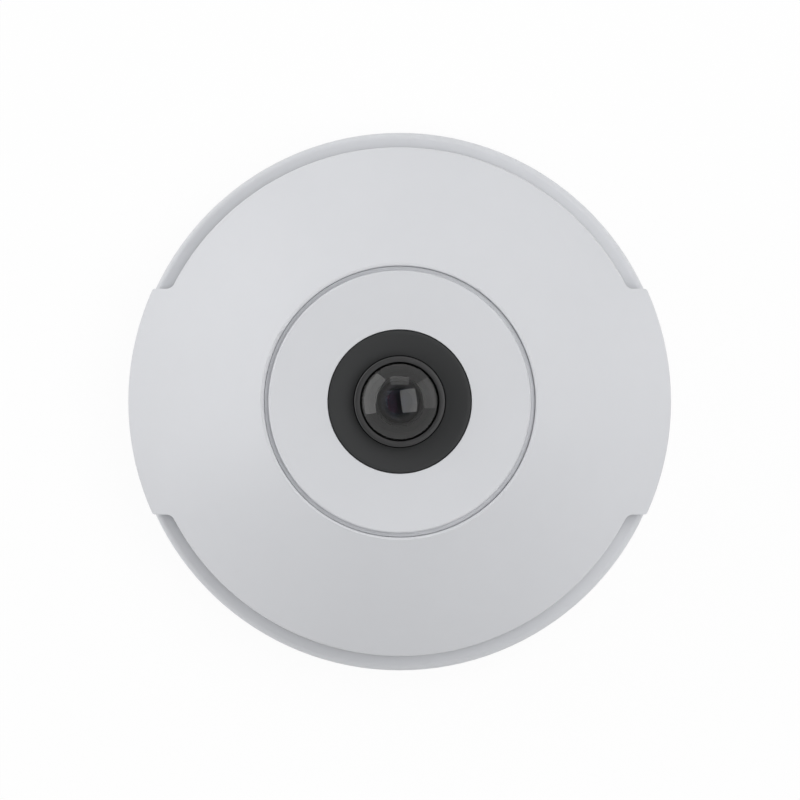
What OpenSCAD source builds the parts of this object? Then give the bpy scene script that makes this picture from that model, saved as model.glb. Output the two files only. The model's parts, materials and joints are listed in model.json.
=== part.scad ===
// Round ceiling camera with a fisheye lens, lying on its back with the lens up.
// Z = 0 is the back of the mounting plate, +Z is the lens axis, +Y the camera's upper side.

/* [Cover] */
// Diameter across the two wings of the cover
cover_d = 101; // [100:0.5:108]
// Height of the straight rim under the dome, on the wings
rim_h = 5.1; // [4.6:0.1:6]
// Fall of the dome from its centre hole to the rim
dome_drop = 20.5; // [20:0.1:22]
// Radius of the arc that the dome is turned from
dome_arc_r = 104; // [90:1:140]
// Width of each wing, from step to step
wing_w = 42; // [36:1:48]
// Step from the rim of the wings in to the wall of the crescents
crescent_step = 3.2; // [2.8:0.1:3.6]
// Round corner between the end of a wing and the crescent's wall
wing_root_r = 2.0; // [1:0.1:3]
// Round outer corners of the wings
wing_tip_r = 1.0; // [0.5:0.1:1.5]
// Wall of the cover
cover_wall = 2.0; // [1.6:0.1:2.3]
// Rounding of the outer edges of the cover
cover_edge_r = 0.9; // [0.5:0.1:1.3]
// Open line between the cover and the base
parting_gap = 0.4; // [0.3:0.05:0.6]
// Thickness of the ribs inside the cover
cover_rib_t = 1.2; // [0.9:0.1:1.6]
// Height of the ribs inside the cover
cover_rib_h = 2.4; // [1.5:0.1:3]

/* [Centre] */
// Diameter of the flat centre plate
disc_d = 48.6; // [48:0.1:49.6]
// Thickness of the centre plate
disc_t = 1.4; // [1.2:0.1:1.6]
// Open line between the centre plate and the cover
disc_gap = 0.8; // [0.6:0.05:1]
// Diameter of the black bezel around the lens
bezel_d = 26.4; // [24:0.2:28]
// Depth of the bezel's dish below the centre plate's face
bezel_depth = 0.5; // [0.3:0.1:0.9]

/* [Lens] */
// Diameter of the front glass
glass_d = 15.6; // [15:0.1:15.9]
// Radius of the front glass's outer face
glass_face_r = 9.4; // [8.8:0.1:11]
// Diameter of the lens head
head_d = 16.8; // [16.6:0.1:17.2]
// Height of the lens head above the centre plate's face
head_proud = 1.6; // [1.2:0.1:2]
// Diameter of the lens barrel's thread
thread_d = 12; // [11.6:0.1:12.4]

/* [Base] */
// How far the wings stand out past the base
wing_proud = 0.4; // [0.3:0.1:1]
// Wall of the base's skirt
base_wall = 2.6; // [2.3:0.1:2.8]
// Floor of the base
base_floor_t = 2.0; // [1.8:0.1:2.3]
// Room for the cable between the mounting plate and the floor
recess_h = 6.0; // [5.7:0.1:7]
// Height of the shoulder above the underside of the floor
shoulder_h = 4.0; // [3.8:0.1:4.4]
// Height of the upstand above the shoulder
upstand_h = 5.0; // [4.8:0.1:5.2]
// Thickness of the upstand inside the cover
upstand_t = 1.8; // [1.6:0.1:2]
// Line between the base's rim and the mounting surface
rim_gap = 0.6; // [0.4:0.1:1]
// Width of the side cable entry
entry_w = 9; // [7:0.5:11]
// Height of the side cable entry
entry_h = 6.4; // [5.5:0.1:6.8]

/* [Mounting plate] */
// Thickness of the mounting plate
plate_t = 2.0; // [1.8:0.1:2.3]
// Diameter of the opening that the cable comes through
plate_hole_d = 28; // [24:1:32]
// Distance between the two slots that fit an outlet box
box_spacing = 83.3; // [82.8:0.1:83.6]
// Length of these slots, end to end
box_slot_l = 7.6; // [6:0.1:8]
// Width of these slots
box_slot_w = 4.2; // [3.8:0.1:4.6]
// Pitch circle of the four wall screws
wall_pcd = 64; // [56:1:70]
// Diameter of the wall screw holes
wall_hole_d = 4.5; // [4:0.1:5]
// Number of bayonet hooks
hook_count = 3; // [2, 3, 4]
// Turn that frees the camera from the mounting plate, in degrees
twist_angle = 16; // [15:0.5:20]

/* [Main board] */
// Gap between the main board and the upstand around it
board_gap = 2.7; // [2.3:0.1:2.9]
// Thickness of the main board
board_t = 1.6; // [1.4:0.1:1.7]
// Height of the bosses under the main board
board_lift = 2.0; // [1.9:0.1:2.2]
// Length of the network jack
jack_l = 21.3; // [19:0.1:21.6]
// Width of the network jack
jack_w = 16; // [15.4:0.1:16.2]
// Height of the network jack
jack_h = 11.5; // [11:0.1:11.6]
// Number of capacitors
can_count = 2; // [1, 2]

/* [Hidden] */
$fn = 96;

// Clearances: slip between pieces of one body, play between bodies, and the overrun of cuts
slip = 0.15;
play = 0.3;
over = 1;
// Sink of a joined boss or rib into the wall that carries it
sink = 0.5;

// Heights of the mounting plate, the base and the cover
floor_z = plate_t + recess_h;
floor_top = floor_z + base_floor_t;
shoulder_z = floor_z + shoulder_h;
shoulder_t = 1.8;
upstand_top = shoulder_z + upstand_h;
cover_z = shoulder_z + parting_gap;
rim_z = cover_z + rim_h;
crown_z = rim_z + dome_drop;

// Radii of the cover and the base
cover_r = cover_d / 2;
crescent_r = cover_r - crescent_step;
base_r = cover_r - wing_proud;
skirt_in_r = base_r - base_wall;
upstand_r = crescent_r - cover_wall - play;
upstand_in_r = upstand_r - upstand_t;
shoulder_edge_r = 1.1;
foot_edge_r = 0.5;
small_edge_r = 0.4;

// Centre plate, and the hole that it fills in the cover
disc_r = disc_d / 2;
cover_hole_r = disc_r + disc_gap;
disc_z = crown_z - disc_t;
ledge_face_drop = 0.7;
ledge_play = 0.2;
disc_ledge_r = cover_hole_r - ledge_play;

// Centres of the round corners at the ends of the wings. Each circle laps a little over the
// walls that it joins.
corner_lap = 0.05;
wing_end = wing_w / 2;
wing_root_y = wing_end + wing_root_r - corner_lap;
wing_root_at = [sqrt(pow(crescent_r + wing_root_r - corner_lap, 2) - pow(wing_root_y, 2)), wing_root_y];
wing_tip_y = wing_end - wing_tip_r + corner_lap;
wing_tip_at = [sqrt(pow(cover_r - wing_tip_r + corner_lap, 2) - pow(wing_tip_y, 2)), wing_tip_y];

// Arc of the dome: its chord runs from the centre hole's edge to the rim
dome_run = cover_r - cover_hole_r;
dome_half_chord = norm([dome_run, dome_drop]) / 2;
dome_reach = sqrt(dome_arc_r * dome_arc_r - dome_half_chord * dome_half_chord);
dome_middle = [cover_hole_r + dome_run / 2, crown_z - dome_drop / 2];
dome_centre = dome_middle - dome_reach / (2 * dome_half_chord) * [dome_drop, dome_run];

// Height of the dome's arc at a radius, or of the face that lies an inset inside it
function dome_z(at_r, inset) =
    dome_centre.y + sqrt(pow(dome_arc_r - inset, 2) - pow(at_r - dome_centre.x, 2));

// Collar under the cover's centre hole, keys and clip bosses
collar_t = 1.6;
collar_h = 4.2;
key_w = 4;
key_angles = [90, 270];
cover_rib_in_r = cover_hole_r + collar_t - sink;
cover_rib_out_r = 38;
cover_rib_step = 30;
clip_angles = [45, 135, 225, 315];
clip_t = 0.4;
clip_w = 6;
clip_gap = 0.4;
clip_r = upstand_in_r - clip_gap - clip_t / 2;
clip_bite = 1.3;
clip_room = 0.75;
clip_boss_w = 9;
clip_boss_t = 1.4;
clip_boss_z = upstand_top + play;
clip_slot_d = dome_z(clip_r + clip_t / 2, cover_wall) - clip_room - clip_boss_z;
catch_h = 1.9;
catch_z = upstand_top - play - catch_h - clip_slot_d / 4;

// Bayonet: hooks on the plate, ledges and stops in the base
plate_gap = 0.5;
plate_r = skirt_in_r - plate_gap;
plate_hole_r = plate_hole_d / 2;
plate_lip_w = 1.8;
plate_lip_h = 1.2;
ledge_gap = 0.5;
ledge_t = 1.4;
ledge_depth = 2.3;
ledge_z = plate_t + ledge_gap;
ledge_in_r = skirt_in_r - ledge_depth;
hook_wall = 1.8;
hook_gap = 0.8;
hook_lip_t = 1.3;
hook_out_r = skirt_in_r - hook_gap;
hook_post_r = ledge_in_r - hook_gap;
hook_lip_z = ledge_z + ledge_t + play;
hook_top = hook_lip_z + hook_lip_t;
hook_share = 0.75;
hook_span = hook_share * twist_angle;
free_turn = 2;
ledge_span = 2 * (twist_angle - free_turn) - hook_span;
hook_turn = 90;
stop_span = 2;
stop_play = 0.5;

// Ribs under the floor, and the cable's way through it
floor_rib_angles = [15, 75, 135, 195, 255];
floor_rib_t = 1.4;
floor_rib_h = 1.2;
floor_ring_r = 20;
cable_inset = [15.8, 19.8];
cable_at = [upstand_in_r - cable_inset.x, cable_inset.y - upstand_in_r];
cable_d = 6.2;
cable_hole_r = 5.5;
grommet_flange = 1.1;
grommet_flange_t = 1.0;
entry_turn = 270;
entry_span = 2 * asin(entry_w / 2 / base_r);
lid_grip_t = 0.7;
lid_grip_h = 0.8;
lid_grip_count = 3;

// Main board and its screws
board_r = upstand_in_r - board_gap;
board_z = floor_top + board_lift;
board_top = board_z + board_t;
board_screw_turns = [30, 100, 215, 340];
board_screw_edge = 3.5;
board_screw_r = board_r - board_screw_edge;
screw_r = 1.2;
screw_head_r = 2.3;
screw_head_h = 1.5;
screw_bite = 3.2;
boss_r = 3;
bit_w = 0.6;
bit_l = 2.6;
bit_d = 0.8;

// Network jack: its back left corner on the board, its ears and its socket
jack_inset = 7.5;
jack_at = [-18.3, jack_inset - board_r];
jack_sink = 1.4;
jack_z = board_z - jack_sink;
jack_end = jack_at.x + jack_l;
jack_ear = 1.6;
jack_ear_t = 0.8;
socket_w = 11.8;
socket_h = 6.8;
socket_d = 14.5;
socket_lift = 2.2;
latch_w = 6.4;
latch_h = 1.5;
contact_count = 8;
contact_pitch = 1.02;
contact_w = 0.45;
contact_t = 0.35;
contact_drop = 2.2;
jack_pad_w = 2;
jack_pad_shares = [0.2, 0.8];

// Parts on the main board: places of their centres and their sizes
transformer_inset = 14.5;
transformer_at = [-19, board_r - transformer_inset];
transformer_w = 12;
transformer_h = 8.4;
coil_w = 7.6;
coil_h = 4.2;
coil_d = 7;
chip_w = 15;
chip_t = 1.4;
pad_t = 0.4;
sink_w = 26;
sink_base_t = 1.8;
fin_count = 8;
fin_t = 1.2;
fin_top_gap = 1.0;
memory_size = [8, 11, 1.1];
memory_gap = 5.4;
memory_x = (sink_w + memory_size.x) / 2 + memory_gap;
memory_at = [[memory_x, 3], [memory_x, 15.6]];
coil_gap = 1.8;
coil_at = [-(sink_w + coil_w) / 2 - coil_gap, 8.4];
can_x = [19.4, 9.4];
can_inset = [10.5, 7.5];
can_at = [for (i = [0 : len(can_x) - 1]) [can_x[i], board_r - can_inset[i]]];
can_r = 4;
can_h = 8;
can_foot_h = 1;
can_neck = 0.35;
led_inset = 4.1;
led_at = [board_r - led_inset, -3.2];
led_size = [1.6, 0.9, 0.6];

// Memory card and its slot, open towards +Y
card_w = 11;
card_l = 15;
card_t = 1.0;
card_inset = 4.5;
card_at = [card_inset - board_r, -9.4];
card_lift = 0.5;
slot_wall = 0.8;
slot_l = 14;
slot_lid_t = 0.3;
card_grip = 1.2;
card_grip_d = 0.2;
card_step_share = 0.6;

// Reset switch
switch_inset = 7.1;
switch_at = [board_r - switch_inset, 4.4];
switch_w = 6;
switch_h = 3.4;
switch_travel = 0.3;
button_r = 1.7;
button_h = 1.6;
button_depth = 1.5;
button_flange = 0.6;
button_flange_t = 0.6;

// Turret: the inner frame that carries the sensor, the lens and the centre plate
turret_h = 14;
turret_step = 1;
turret_r = disc_r - turret_step;
turret_wall = 1.8;
turret_in_r = turret_r - turret_wall;
turret_z = disc_z - turret_h;
turret_floor_t = 1.6;
turret_floor_top = turret_z + turret_floor_t;
flange_r = cover_hole_r - play;
flange_t = 1.8;
leg_turns = [90, 210, 330];
leg_w = 5;
leg_t = 2.6;
foot_reach = 4.7;
foot_at_r = turret_r + foot_reach;
foot_r = 3.2;
foot_t = 2.0;
turret_window_turns = [30, 150, 270];
turret_window_w = 9;
turret_window_h = 4;
lug_turns = [0, 120, 240];
lug_w = 5;
lug_h = 1.2;
lug_out = 0.9;
skirt_h = 3.2;
skirt_t = 1.4;

// Sensor board, image sensor and lens holder
sensor_lift = 1.2;
sensor_board_w = 28;
sensor_board_t = 1.2;
sensor_board_edge_r = 2;
sensor_z = turret_floor_top + sensor_lift;
sensor_top = sensor_z + sensor_board_t;
sensor_post_x = 11.4;
sensor_post_r = 2.3;
small_screw_r = 0.9;
small_head_r = 1.75;
small_head_h = 1.0;
small_bite = 1.6;
imager_size = [9.4, 8.4, 1.0];
imager_glass = [7.6, 6.6, 0.5];
holder_w = 18;
holder_base_h = 3.6;
holder_h = 7.0;
holder_r = 8.2;
holder_edge_r = 1.5;
holder_pocket_w = 12.4;
holder_pocket_h = 2.6;
holder_ear_x = 10.6;
holder_ear_w = 5.4;
holder_ear_l = 26;
holder_ear_t = 2.2;
holder_ear_r = 2.5;
filter_w = 9;
filter_t = 0.5;
filter_hole_r = 4.1;

// Lens
head_r = head_d / 2;
thread_r = thread_d / 2;
glass_r = glass_d / 2;
head_top = crown_z + head_proud;
lens_gap = 4.2;
barrel_z = sensor_top + lens_gap;
lock_ring_r = 8;
lock_ring_t = 1.5;
lock_ring_notches = 6;
lock_ring_notch_r = 0.8;
head_z = sensor_top + holder_h + lock_ring_t + play;
rear_lip = 0.6;
rear_lip_r = 2.6;
rear_bore_r = 4.4;
stop_r = 2.4;
stop_t = 0.5;
middle_bore_r = 5.6;
middle_bore_d = 2.4;
glass_seat_d = 1.7;
retainer_t = 0.7;
retainer_lap = 0.25;
glass_edge_h = 1.4;
glass_back_r = 4.9;
glass_back_sink = 0.4;
middle_glass_t = 2.1;
middle_face_r = 7;
middle_face_inset = 0.5;
rear_glass_t = 2.8;
rear_face_r = 9;
glass_play = 0.05;
stop_z = head_top - glass_seat_d - middle_bore_d - stop_t;

// Bezel and its seal
bezel_r = bezel_d / 2;
bezel_rim = 0.7;
bezel_clear = 0.6;
bezel_in_r = head_r + bezel_clear;
bezel_tube_h = 1.9;
bezel_tube_t = 1.0;
bezel_flange = 1.8;
bezel_flange_t = 1.3;
seal_drop = 0.4;
seal_r = (head_r + bezel_in_r) / 2;
seal_section_r = (bezel_in_r - head_r) / 2 - glass_play / 2;

// Flexible cable between the boards
flex_w = 10;
flex_t = 0.3;
flex_y = 16;
flex_bend = 1.5;
flex_slot = [14, 4.2];
board_connector_size = [14, 4, 1.8];
sensor_connector_size = [12, 2.6, 1.2];
sensor_connector_y = 12.4;

// Ring standing on the plane of its children's place
module ring(outer_r, inner_r, h) {
    difference() {
        cylinder(r = outer_r, h = h);
        translate([0, 0, -over]) cylinder(r = inner_r, h = h + 2 * over);
    }
}

// Copies at these turns around the lens axis, at a distance from it
module around(turns, distance) {
    for (turn = turns) rotate(turn) translate([distance, 0, 0]) children();
}

// What a round edge takes off a square corner that points to sx, sy
module corner_cut(corner, r, sx, sy) {
    translate(corner) mirror([sx < 0 ? 1 : 0, 0, 0]) mirror([0, sy < 0 ? 1 : 0, 0])
        translate([-r, -r]) difference() {
            square(r + over);
            circle(r = r);
        }
}

// Rectangle around the origin with round corners
module round_square(size, r) {
    difference() {
        square([size.x, size.y], center = true);
        for (sx = [-1, 1], sy = [-1, 1]) corner_cut([sx * size.x / 2, sy * size.y / 2], r, sx, sy);
    }
}

// Upright block with round corners, standing on z
module block(at, z, size, r) {
    translate([at.x, at.y, z]) linear_extrude(size.z) round_square(size, r);
}

// Slot with round ends along X
module slot(length, width) {
    square([length - width, width], center = true);
    for (side = [-1, 1]) translate([side * (length - width) / 2, 0]) circle(d = width);
}

// Bent strip of even thickness along a path
module strip(path, t) {
    for (i = [0 : len(path) - 2]) {
        leg = path[i + 1] - path[i];
        translate(path[i]) rotate(atan2(leg.y, leg.x)) translate([0, -t / 2]) square([norm(leg), t]);
    }
    for (i = [1 : len(path) - 2]) translate(path[i]) circle(d = t);
}

// Upright slice of a strip's outline: its first axis points outwards, its second up
module upright(width) {
    rotate([90, 0, 0]) translate([0, 0, -width / 2]) linear_extrude(width) children();
}

// Screw with its head's underside at z, its shank below and a cross in its head
module screw(z, length, shank_r, head_r, head_h) {
    translate([0, 0, z]) difference() {
        union() {
            translate([0, 0, -length]) cylinder(r = shank_r, h = length);
            rotate_extrude() difference() {
                square([head_r, head_h]);
                corner_cut([head_r, head_h], head_h / 2, 1, 1);
            }
        }
        for (turn = [0, 90]) rotate(turn)
            translate([-head_r * bit_l / 2 / screw_head_r, -bit_w / 2, head_h / 2])
                cube([head_r * bit_l / screw_head_r, bit_w, bit_d]);
    }
}

// Section under the dome's arc, cut off at a radius, with the arc and the edge drawn in by an inset
module dome_section(edge_r, inset, foot_z) {
    intersection() {
        translate(dome_centre) circle(r = dome_arc_r - inset, $fn = 4 * $fn);
        translate([0, foot_z]) square([edge_r, crown_z]);
    }
}

// What the rounding takes off where the dome meets an upright wall; side is 1 outside, -1 in the hole
module dome_edge_cut(wall_r, r, side) {
    x = wall_r - side * r;
    centre = [x, dome_centre.y + sqrt(pow(dome_arc_r - r, 2) - pow(x - dome_centre.x, 2))];
    away = (centre - dome_centre) / norm(centre - dome_centre);
    reach = r + over;
    difference() {
        polygon([
            centre, centre + [side * reach, 0], centre + [side * reach, 2 * reach], centre + reach * away
        ]);
        translate(centre) circle(r = r);
    }
}

// What fills the inner corner between a wing's end and the crescent's wall, seen from above
module wing_root() {
    corner_x = sqrt(pow(crescent_r, 2) - pow(wing_end, 2));
    difference() {
        polygon([
            [corner_x - sink, wing_end - sink],
            [wing_root_at.x, wing_end - sink],
            wing_root_at,
            wing_root_at * (crescent_r - sink) / norm(wing_root_at)
        ]);
        translate(wing_root_at) circle(r = wing_root_r);
    }
}

// What the rounding takes off a wing's outer corner, seen from above
module wing_tip_cut() {
    reach = 2 * wing_tip_r + over;
    difference() {
        polygon([
            wing_tip_at, wing_tip_at + [0, reach], wing_tip_at + [2 * reach, reach],
            wing_tip_at * (1 + reach / norm(wing_tip_at))
        ]);
        translate(wing_tip_at) circle(r = wing_tip_r);
    }
}

// Upright prism around the two wings
module wings() {
    linear_extrude(2 * crown_z) difference() {
        union() {
            square([2 * cover_d, wing_w], center = true);
            for (sx = [0, 1], sy = [0, 1]) mirror([sx, 0]) mirror([0, sy]) wing_root();
        }
        for (sx = [0, 1], sy = [0, 1]) mirror([sx, 0]) mirror([0, sy]) wing_tip_cut();
    }
}

// Dome with its centre hole, cut off at a radius
module dome_form(edge_r) {
    rotate_extrude() difference() {
        dome_section(edge_r, 0, cover_z);
        dome_edge_cut(edge_r, cover_edge_r, 1);
        dome_edge_cut(cover_hole_r, small_edge_r, -1);
        square([cover_hole_r, 2 * crown_z]);
    }
}

// Outer form of the cover: a dome cut back between its wings
module cover_form() {
    intersection() {
        dome_form(cover_r);
        wings();
    }
    difference() {
        dome_form(crescent_r);
        wings();
    }
}

// Hollow of the cover, open at the bottom
module cover_hollow() {
    rotate_extrude() dome_section(crescent_r - cover_wall, cover_wall, cover_z - over);
    intersection() {
        rotate_extrude() dome_section(cover_r - cover_wall, cover_wall, cover_z - over);
        translate([-cover_d, -wing_w / 2 + cover_wall, 0])
            cube([2 * cover_d, wing_w - 2 * cover_wall, 2 * crown_z]);
    }
}

// Rib that follows the dome's inner face
module cover_rib() {
    span = 2 * asin(cover_rib_t / 2 / cover_rib_out_r);
    rotate(-span / 2) rotate_extrude(angle = span) intersection() {
        difference() {
            dome_section(cover_r, cover_wall - sink, cover_z);
            dome_section(cover_r, cover_wall + cover_rib_h, cover_z);
        }
        translate([cover_rib_in_r, 0]) square([cover_rib_out_r - cover_rib_in_r, 2 * crown_z]);
    }
}

// Boss with the slot that holds a clip
module clip_boss() {
    inner = clip_r - clip_t / 2 - clip_boss_t;
    difference() {
        intersection() {
            translate([inner, -clip_boss_w / 2, clip_boss_z])
                cube([crescent_r - cover_wall + sink - inner, clip_boss_w, crown_z]);
            rotate_extrude() dome_section(crescent_r, cover_wall - sink, cover_z);
        }
        translate([clip_r - clip_t / 2 - slip, -clip_w / 2 - slip, clip_boss_z - over])
            cube([clip_t + 2 * slip, clip_w + 2 * slip, over + clip_slot_d]);
    }
}

module front_cover() color([0.86, 0.87, 0.88]) {
    difference() {
        cover_form();
        cover_hollow();
    }
    // Collar under the centre hole
    rotate_extrude() intersection() {
        dome_section(cover_r, cover_wall - sink, crown_z - collar_h);
        translate([cover_hole_r, 0]) square([collar_t, 2 * crown_z]);
    }
    for (turn = [0 : cover_rib_step : 359]) rotate(turn) cover_rib();
    for (turn = clip_angles) rotate(turn) clip_boss();
    // Keys that set the wings square to the base
    for (turn = key_angles) rotate(turn)
        translate([upstand_in_r + slip, -key_w / 2 + play, shoulder_z + play])
            cube([crescent_r - cover_wall / 2 - upstand_in_r - slip, key_w - 2 * play, upstand_h]);
}

module cover_clips() color("silver") {
    tip_z = catch_z + catch_h / 2;
    for (turn = clip_angles) rotate(turn) upright(clip_w) strip([
        [clip_r, clip_boss_z + clip_slot_d - slip],
        [clip_r, tip_z + clip_bite / 2 + slip],
        [clip_r + clip_bite, tip_z],
        [clip_r - clip_t, tip_z - clip_bite]
    ], clip_t);
}

module centre_plate() color([0.84, 0.85, 0.86]) {
    rotate_extrude() difference() {
        union() {
            translate([0, disc_z]) square([disc_r, disc_t]);
            // Ledge that closes the open line around the plate from below
            translate([0, disc_z]) square([disc_ledge_r, disc_t - ledge_face_drop]);
            translate([turret_in_r - slip - skirt_t, disc_z - skirt_h])
                square([skirt_t, skirt_h + disc_t / 2]);
        }
        square([bezel_r + slip, 2 * crown_z]);
        corner_cut([disc_r, crown_z], small_edge_r, 1, 1);
    }
    // Lugs that click into the turret's windows
    for (turn = lug_turns) rotate(turn)
        translate([turret_in_r - slip - skirt_t / 2, -lug_w / 2, disc_z - skirt_h])
            cube([slip + skirt_t / 2 + lug_out, lug_w, lug_h]);
}

module lens_bezel() color([0.13, 0.13, 0.14]) rotate_extrude() polygon([
    [bezel_in_r, crown_z - bezel_depth - bezel_tube_h],
    [bezel_in_r, crown_z - bezel_depth],
    [bezel_r - bezel_rim, crown_z],
    [bezel_r, crown_z],
    [bezel_r, disc_z],
    [bezel_r + bezel_flange, disc_z],
    [bezel_r + bezel_flange, disc_z - bezel_flange_t],
    [bezel_r - bezel_rim, disc_z - bezel_flange_t],
    [bezel_r - bezel_rim, crown_z - bezel_tube_t],
    [bezel_in_r + bezel_tube_t, crown_z - bezel_depth - bezel_tube_t],
    [bezel_in_r + bezel_tube_t, crown_z - bezel_depth - bezel_tube_h]
]);

module bezel_seal() color([0.1, 0.1, 0.1]) rotate_extrude()
    translate([seal_r, crown_z - bezel_depth - seal_drop]) circle(r = seal_section_r, $fn = 32);

// Spherical cap face: section under a sphere of radius r whose apex is at top
module cap_section(edge_r, bottom, top, r) {
    intersection() {
        translate([0, top - r]) circle(r = r);
        translate([0, bottom]) square([edge_r, top - bottom]);
    }
}

glass_seat_z = head_top - glass_seat_d;
glass_shoulder_z = glass_seat_z + glass_edge_h;
glass_top = glass_shoulder_z + glass_face_r - sqrt(pow(glass_face_r, 2) - pow(glass_r, 2));
middle_z = glass_seat_z - middle_bore_d + glass_play;

module front_glass() color([0.35, 0.38, 0.42, 0.5]) rotate_extrude() difference() {
    cap_section(glass_r, glass_seat_z + glass_play, glass_top, glass_face_r);
    translate([0, glass_seat_z - glass_back_sink]) circle(r = glass_back_r);
}

module middle_glass() color([0.3, 0.36, 0.4, 0.5]) rotate_extrude() {
    square_h = middle_glass_t;
    translate([0, middle_z]) square([middle_bore_r - glass_play, square_h]);
    face_r = middle_bore_r - middle_face_inset;
    rise = middle_face_r - sqrt(pow(middle_face_r, 2) - pow(face_r, 2));
    cap_section(face_r, middle_z + square_h / 2, middle_z + square_h + rise, middle_face_r);
}

module rear_glass() color([0.3, 0.34, 0.42, 0.5]) rotate_extrude()
    cap_section(rear_bore_r - glass_play, barrel_z + rear_lip + glass_play,
        barrel_z + rear_lip + rear_glass_t, rear_face_r);

module lens_retaining_ring() color([0.08, 0.08, 0.08]) rotate_extrude() polygon([
    [glass_r + glass_play * 2, head_top],
    [head_r, head_top],
    [head_r, head_top + retainer_t / 2],
    [head_r - retainer_t / 2, head_top + retainer_t],
    [glass_r - retainer_lap, head_top + retainer_t],
    [glass_r - retainer_lap, head_top + retainer_t / 2]
]);

module lens_barrel() color([0.1, 0.1, 0.1]) rotate_extrude() difference() {
    union() {
        translate([0, barrel_z]) square([thread_r, head_z - barrel_z + over]);
        translate([0, head_z]) square([head_r, head_top - head_z]);
    }
    translate([0, barrel_z - over]) square([rear_lip_r, over + rear_lip * 2]);
    translate([0, barrel_z + rear_lip]) square([rear_bore_r, stop_z - barrel_z - rear_lip]);
    translate([0, stop_z - over]) square([stop_r, stop_t + 2 * over]);
    translate([0, stop_z + stop_t]) square([middle_bore_r, middle_bore_d + over]);
    translate([0, glass_seat_z]) square([glass_r + glass_play, glass_seat_d + over]);
    corner_cut([head_r, head_z], small_edge_r, 1, -1);
}

module lens_lock_ring() color([0.15, 0.15, 0.15]) translate([0, 0, sensor_top + holder_h]) difference() {
    ring(lock_ring_r, thread_r + glass_play, lock_ring_t);
    around([0 : 360 / lock_ring_notches : 359], lock_ring_r)
        translate([0, 0, -over]) cylinder(r = lock_ring_notch_r, h = lock_ring_t + 2 * over);
}

module lens_holder() color([0.14, 0.14, 0.15]) translate([0, 0, sensor_top]) difference() {
    union() {
        block([0, 0], 0, [holder_w, holder_w, holder_base_h], holder_edge_r);
        block([0, 0], 0, [holder_ear_l, holder_ear_w, holder_ear_t], holder_ear_r);
        cylinder(r = holder_r, h = holder_h);
    }
    pocket_w = holder_pocket_w;
    block([0, 0], -over, [pocket_w, pocket_w, holder_pocket_h + over], small_edge_r);
    filter_room = filter_w + 2 * slip;
    block([0, 0], 0, [filter_room, filter_room, holder_pocket_h + filter_t + slip], small_edge_r);
    cylinder(r = filter_hole_r, h = holder_h);
    translate([0, 0, lens_gap - play]) cylinder(r = thread_r + glass_play, h = holder_h);
    around([0, 180], holder_ear_x) translate([0, 0, -over])
        cylinder(r = small_screw_r + glass_play, h = over + small_bite + small_edge_r / 2);
}

module holder_screws() color("silver") around([0, 180], holder_ear_x)
    translate([0, 0, sensor_z]) mirror([0, 0, 1])
        screw(0, sensor_board_t + small_bite, small_screw_r, small_head_r, small_head_h);

module ir_filter() color([0.75, 0.3, 0.35, 0.6])
    block([0, 0], sensor_top + holder_pocket_h + slip / 2, [filter_w, filter_w, filter_t], small_edge_r / 2);

module image_sensor() color([0.2, 0.2, 0.22]) block([0, 0], sensor_top, imager_size, small_edge_r / 2);

module sensor_glass() color([0.4, 0.5, 0.55, 0.6])
    block([0, 0], sensor_top + imager_size.z, imager_glass, small_edge_r / 2);

// Places of the four sensor board screws
sensor_post_turns = [45, 135, 225, 315];
sensor_post_at_r = sensor_post_x * sqrt(2);

module sensor_board() color([0.05, 0.3, 0.16]) difference() {
    block([0, 0], sensor_z, [sensor_board_w, sensor_board_w, sensor_board_t], sensor_board_edge_r);
    around(sensor_post_turns, sensor_post_at_r) translate([0, 0, sensor_z - over])
        cylinder(r = small_screw_r + slip, h = sensor_board_t + 2 * over);
    around([0, 180], holder_ear_x) translate([0, 0, sensor_z - over])
        cylinder(r = small_screw_r + slip, h = sensor_board_t + 2 * over);
}

module sensor_screws() color("silver") around(sensor_post_turns, sensor_post_at_r)
    screw(sensor_top, sensor_board_t + small_bite, small_screw_r, small_head_r, small_head_h);

module sensor_connector() color([0.9, 0.88, 0.8]) difference() {
    block([0, sensor_connector_y], sensor_top, sensor_connector_size, small_edge_r / 2);
    flex_room();
}

module board_connector() color([0.9, 0.88, 0.8]) difference() {
    block([0, flex_y], board_top, board_connector_size, small_edge_r / 2);
    flex_room();
}

// Path of the flexible cable in the plane of Y and Z
flex_path = [
    [flex_y, board_top + board_connector_size.z / 3],
    [flex_y, sensor_top + sensor_connector_size.z / 2 + flex_bend / 2],
    [flex_y - flex_bend / 2, sensor_top + sensor_connector_size.z / 2 + flex_bend],
    [sensor_connector_y + sensor_connector_size.y / 2 + flex_bend / 2,
        sensor_top + sensor_connector_size.z / 2 + flex_bend / 2],
    [sensor_connector_y + sensor_connector_size.y / 4, sensor_top + sensor_connector_size.z / 2]
];

module flex_room() {
    rotate(90) upright(flex_w + 2 * slip) strip(flex_path, flex_t + 2 * slip);
}

module flex_cable() color([0.8, 0.5, 0.2]) rotate(90) upright(flex_w) strip(flex_path, flex_t);

// Leg and foot of the turret, towards +X
module turret_leg() {
    translate([turret_r - leg_t, -leg_w / 2, board_top])
        cube([leg_t, leg_w, turret_z + turret_floor_t - board_top]);
    translate([turret_r - leg_t, -leg_w / 2, board_top]) cube([foot_at_r - turret_r + leg_t, leg_w, foot_t]);
    translate([foot_at_r, 0, board_top]) cylinder(r = foot_r, h = foot_t);
}

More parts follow.
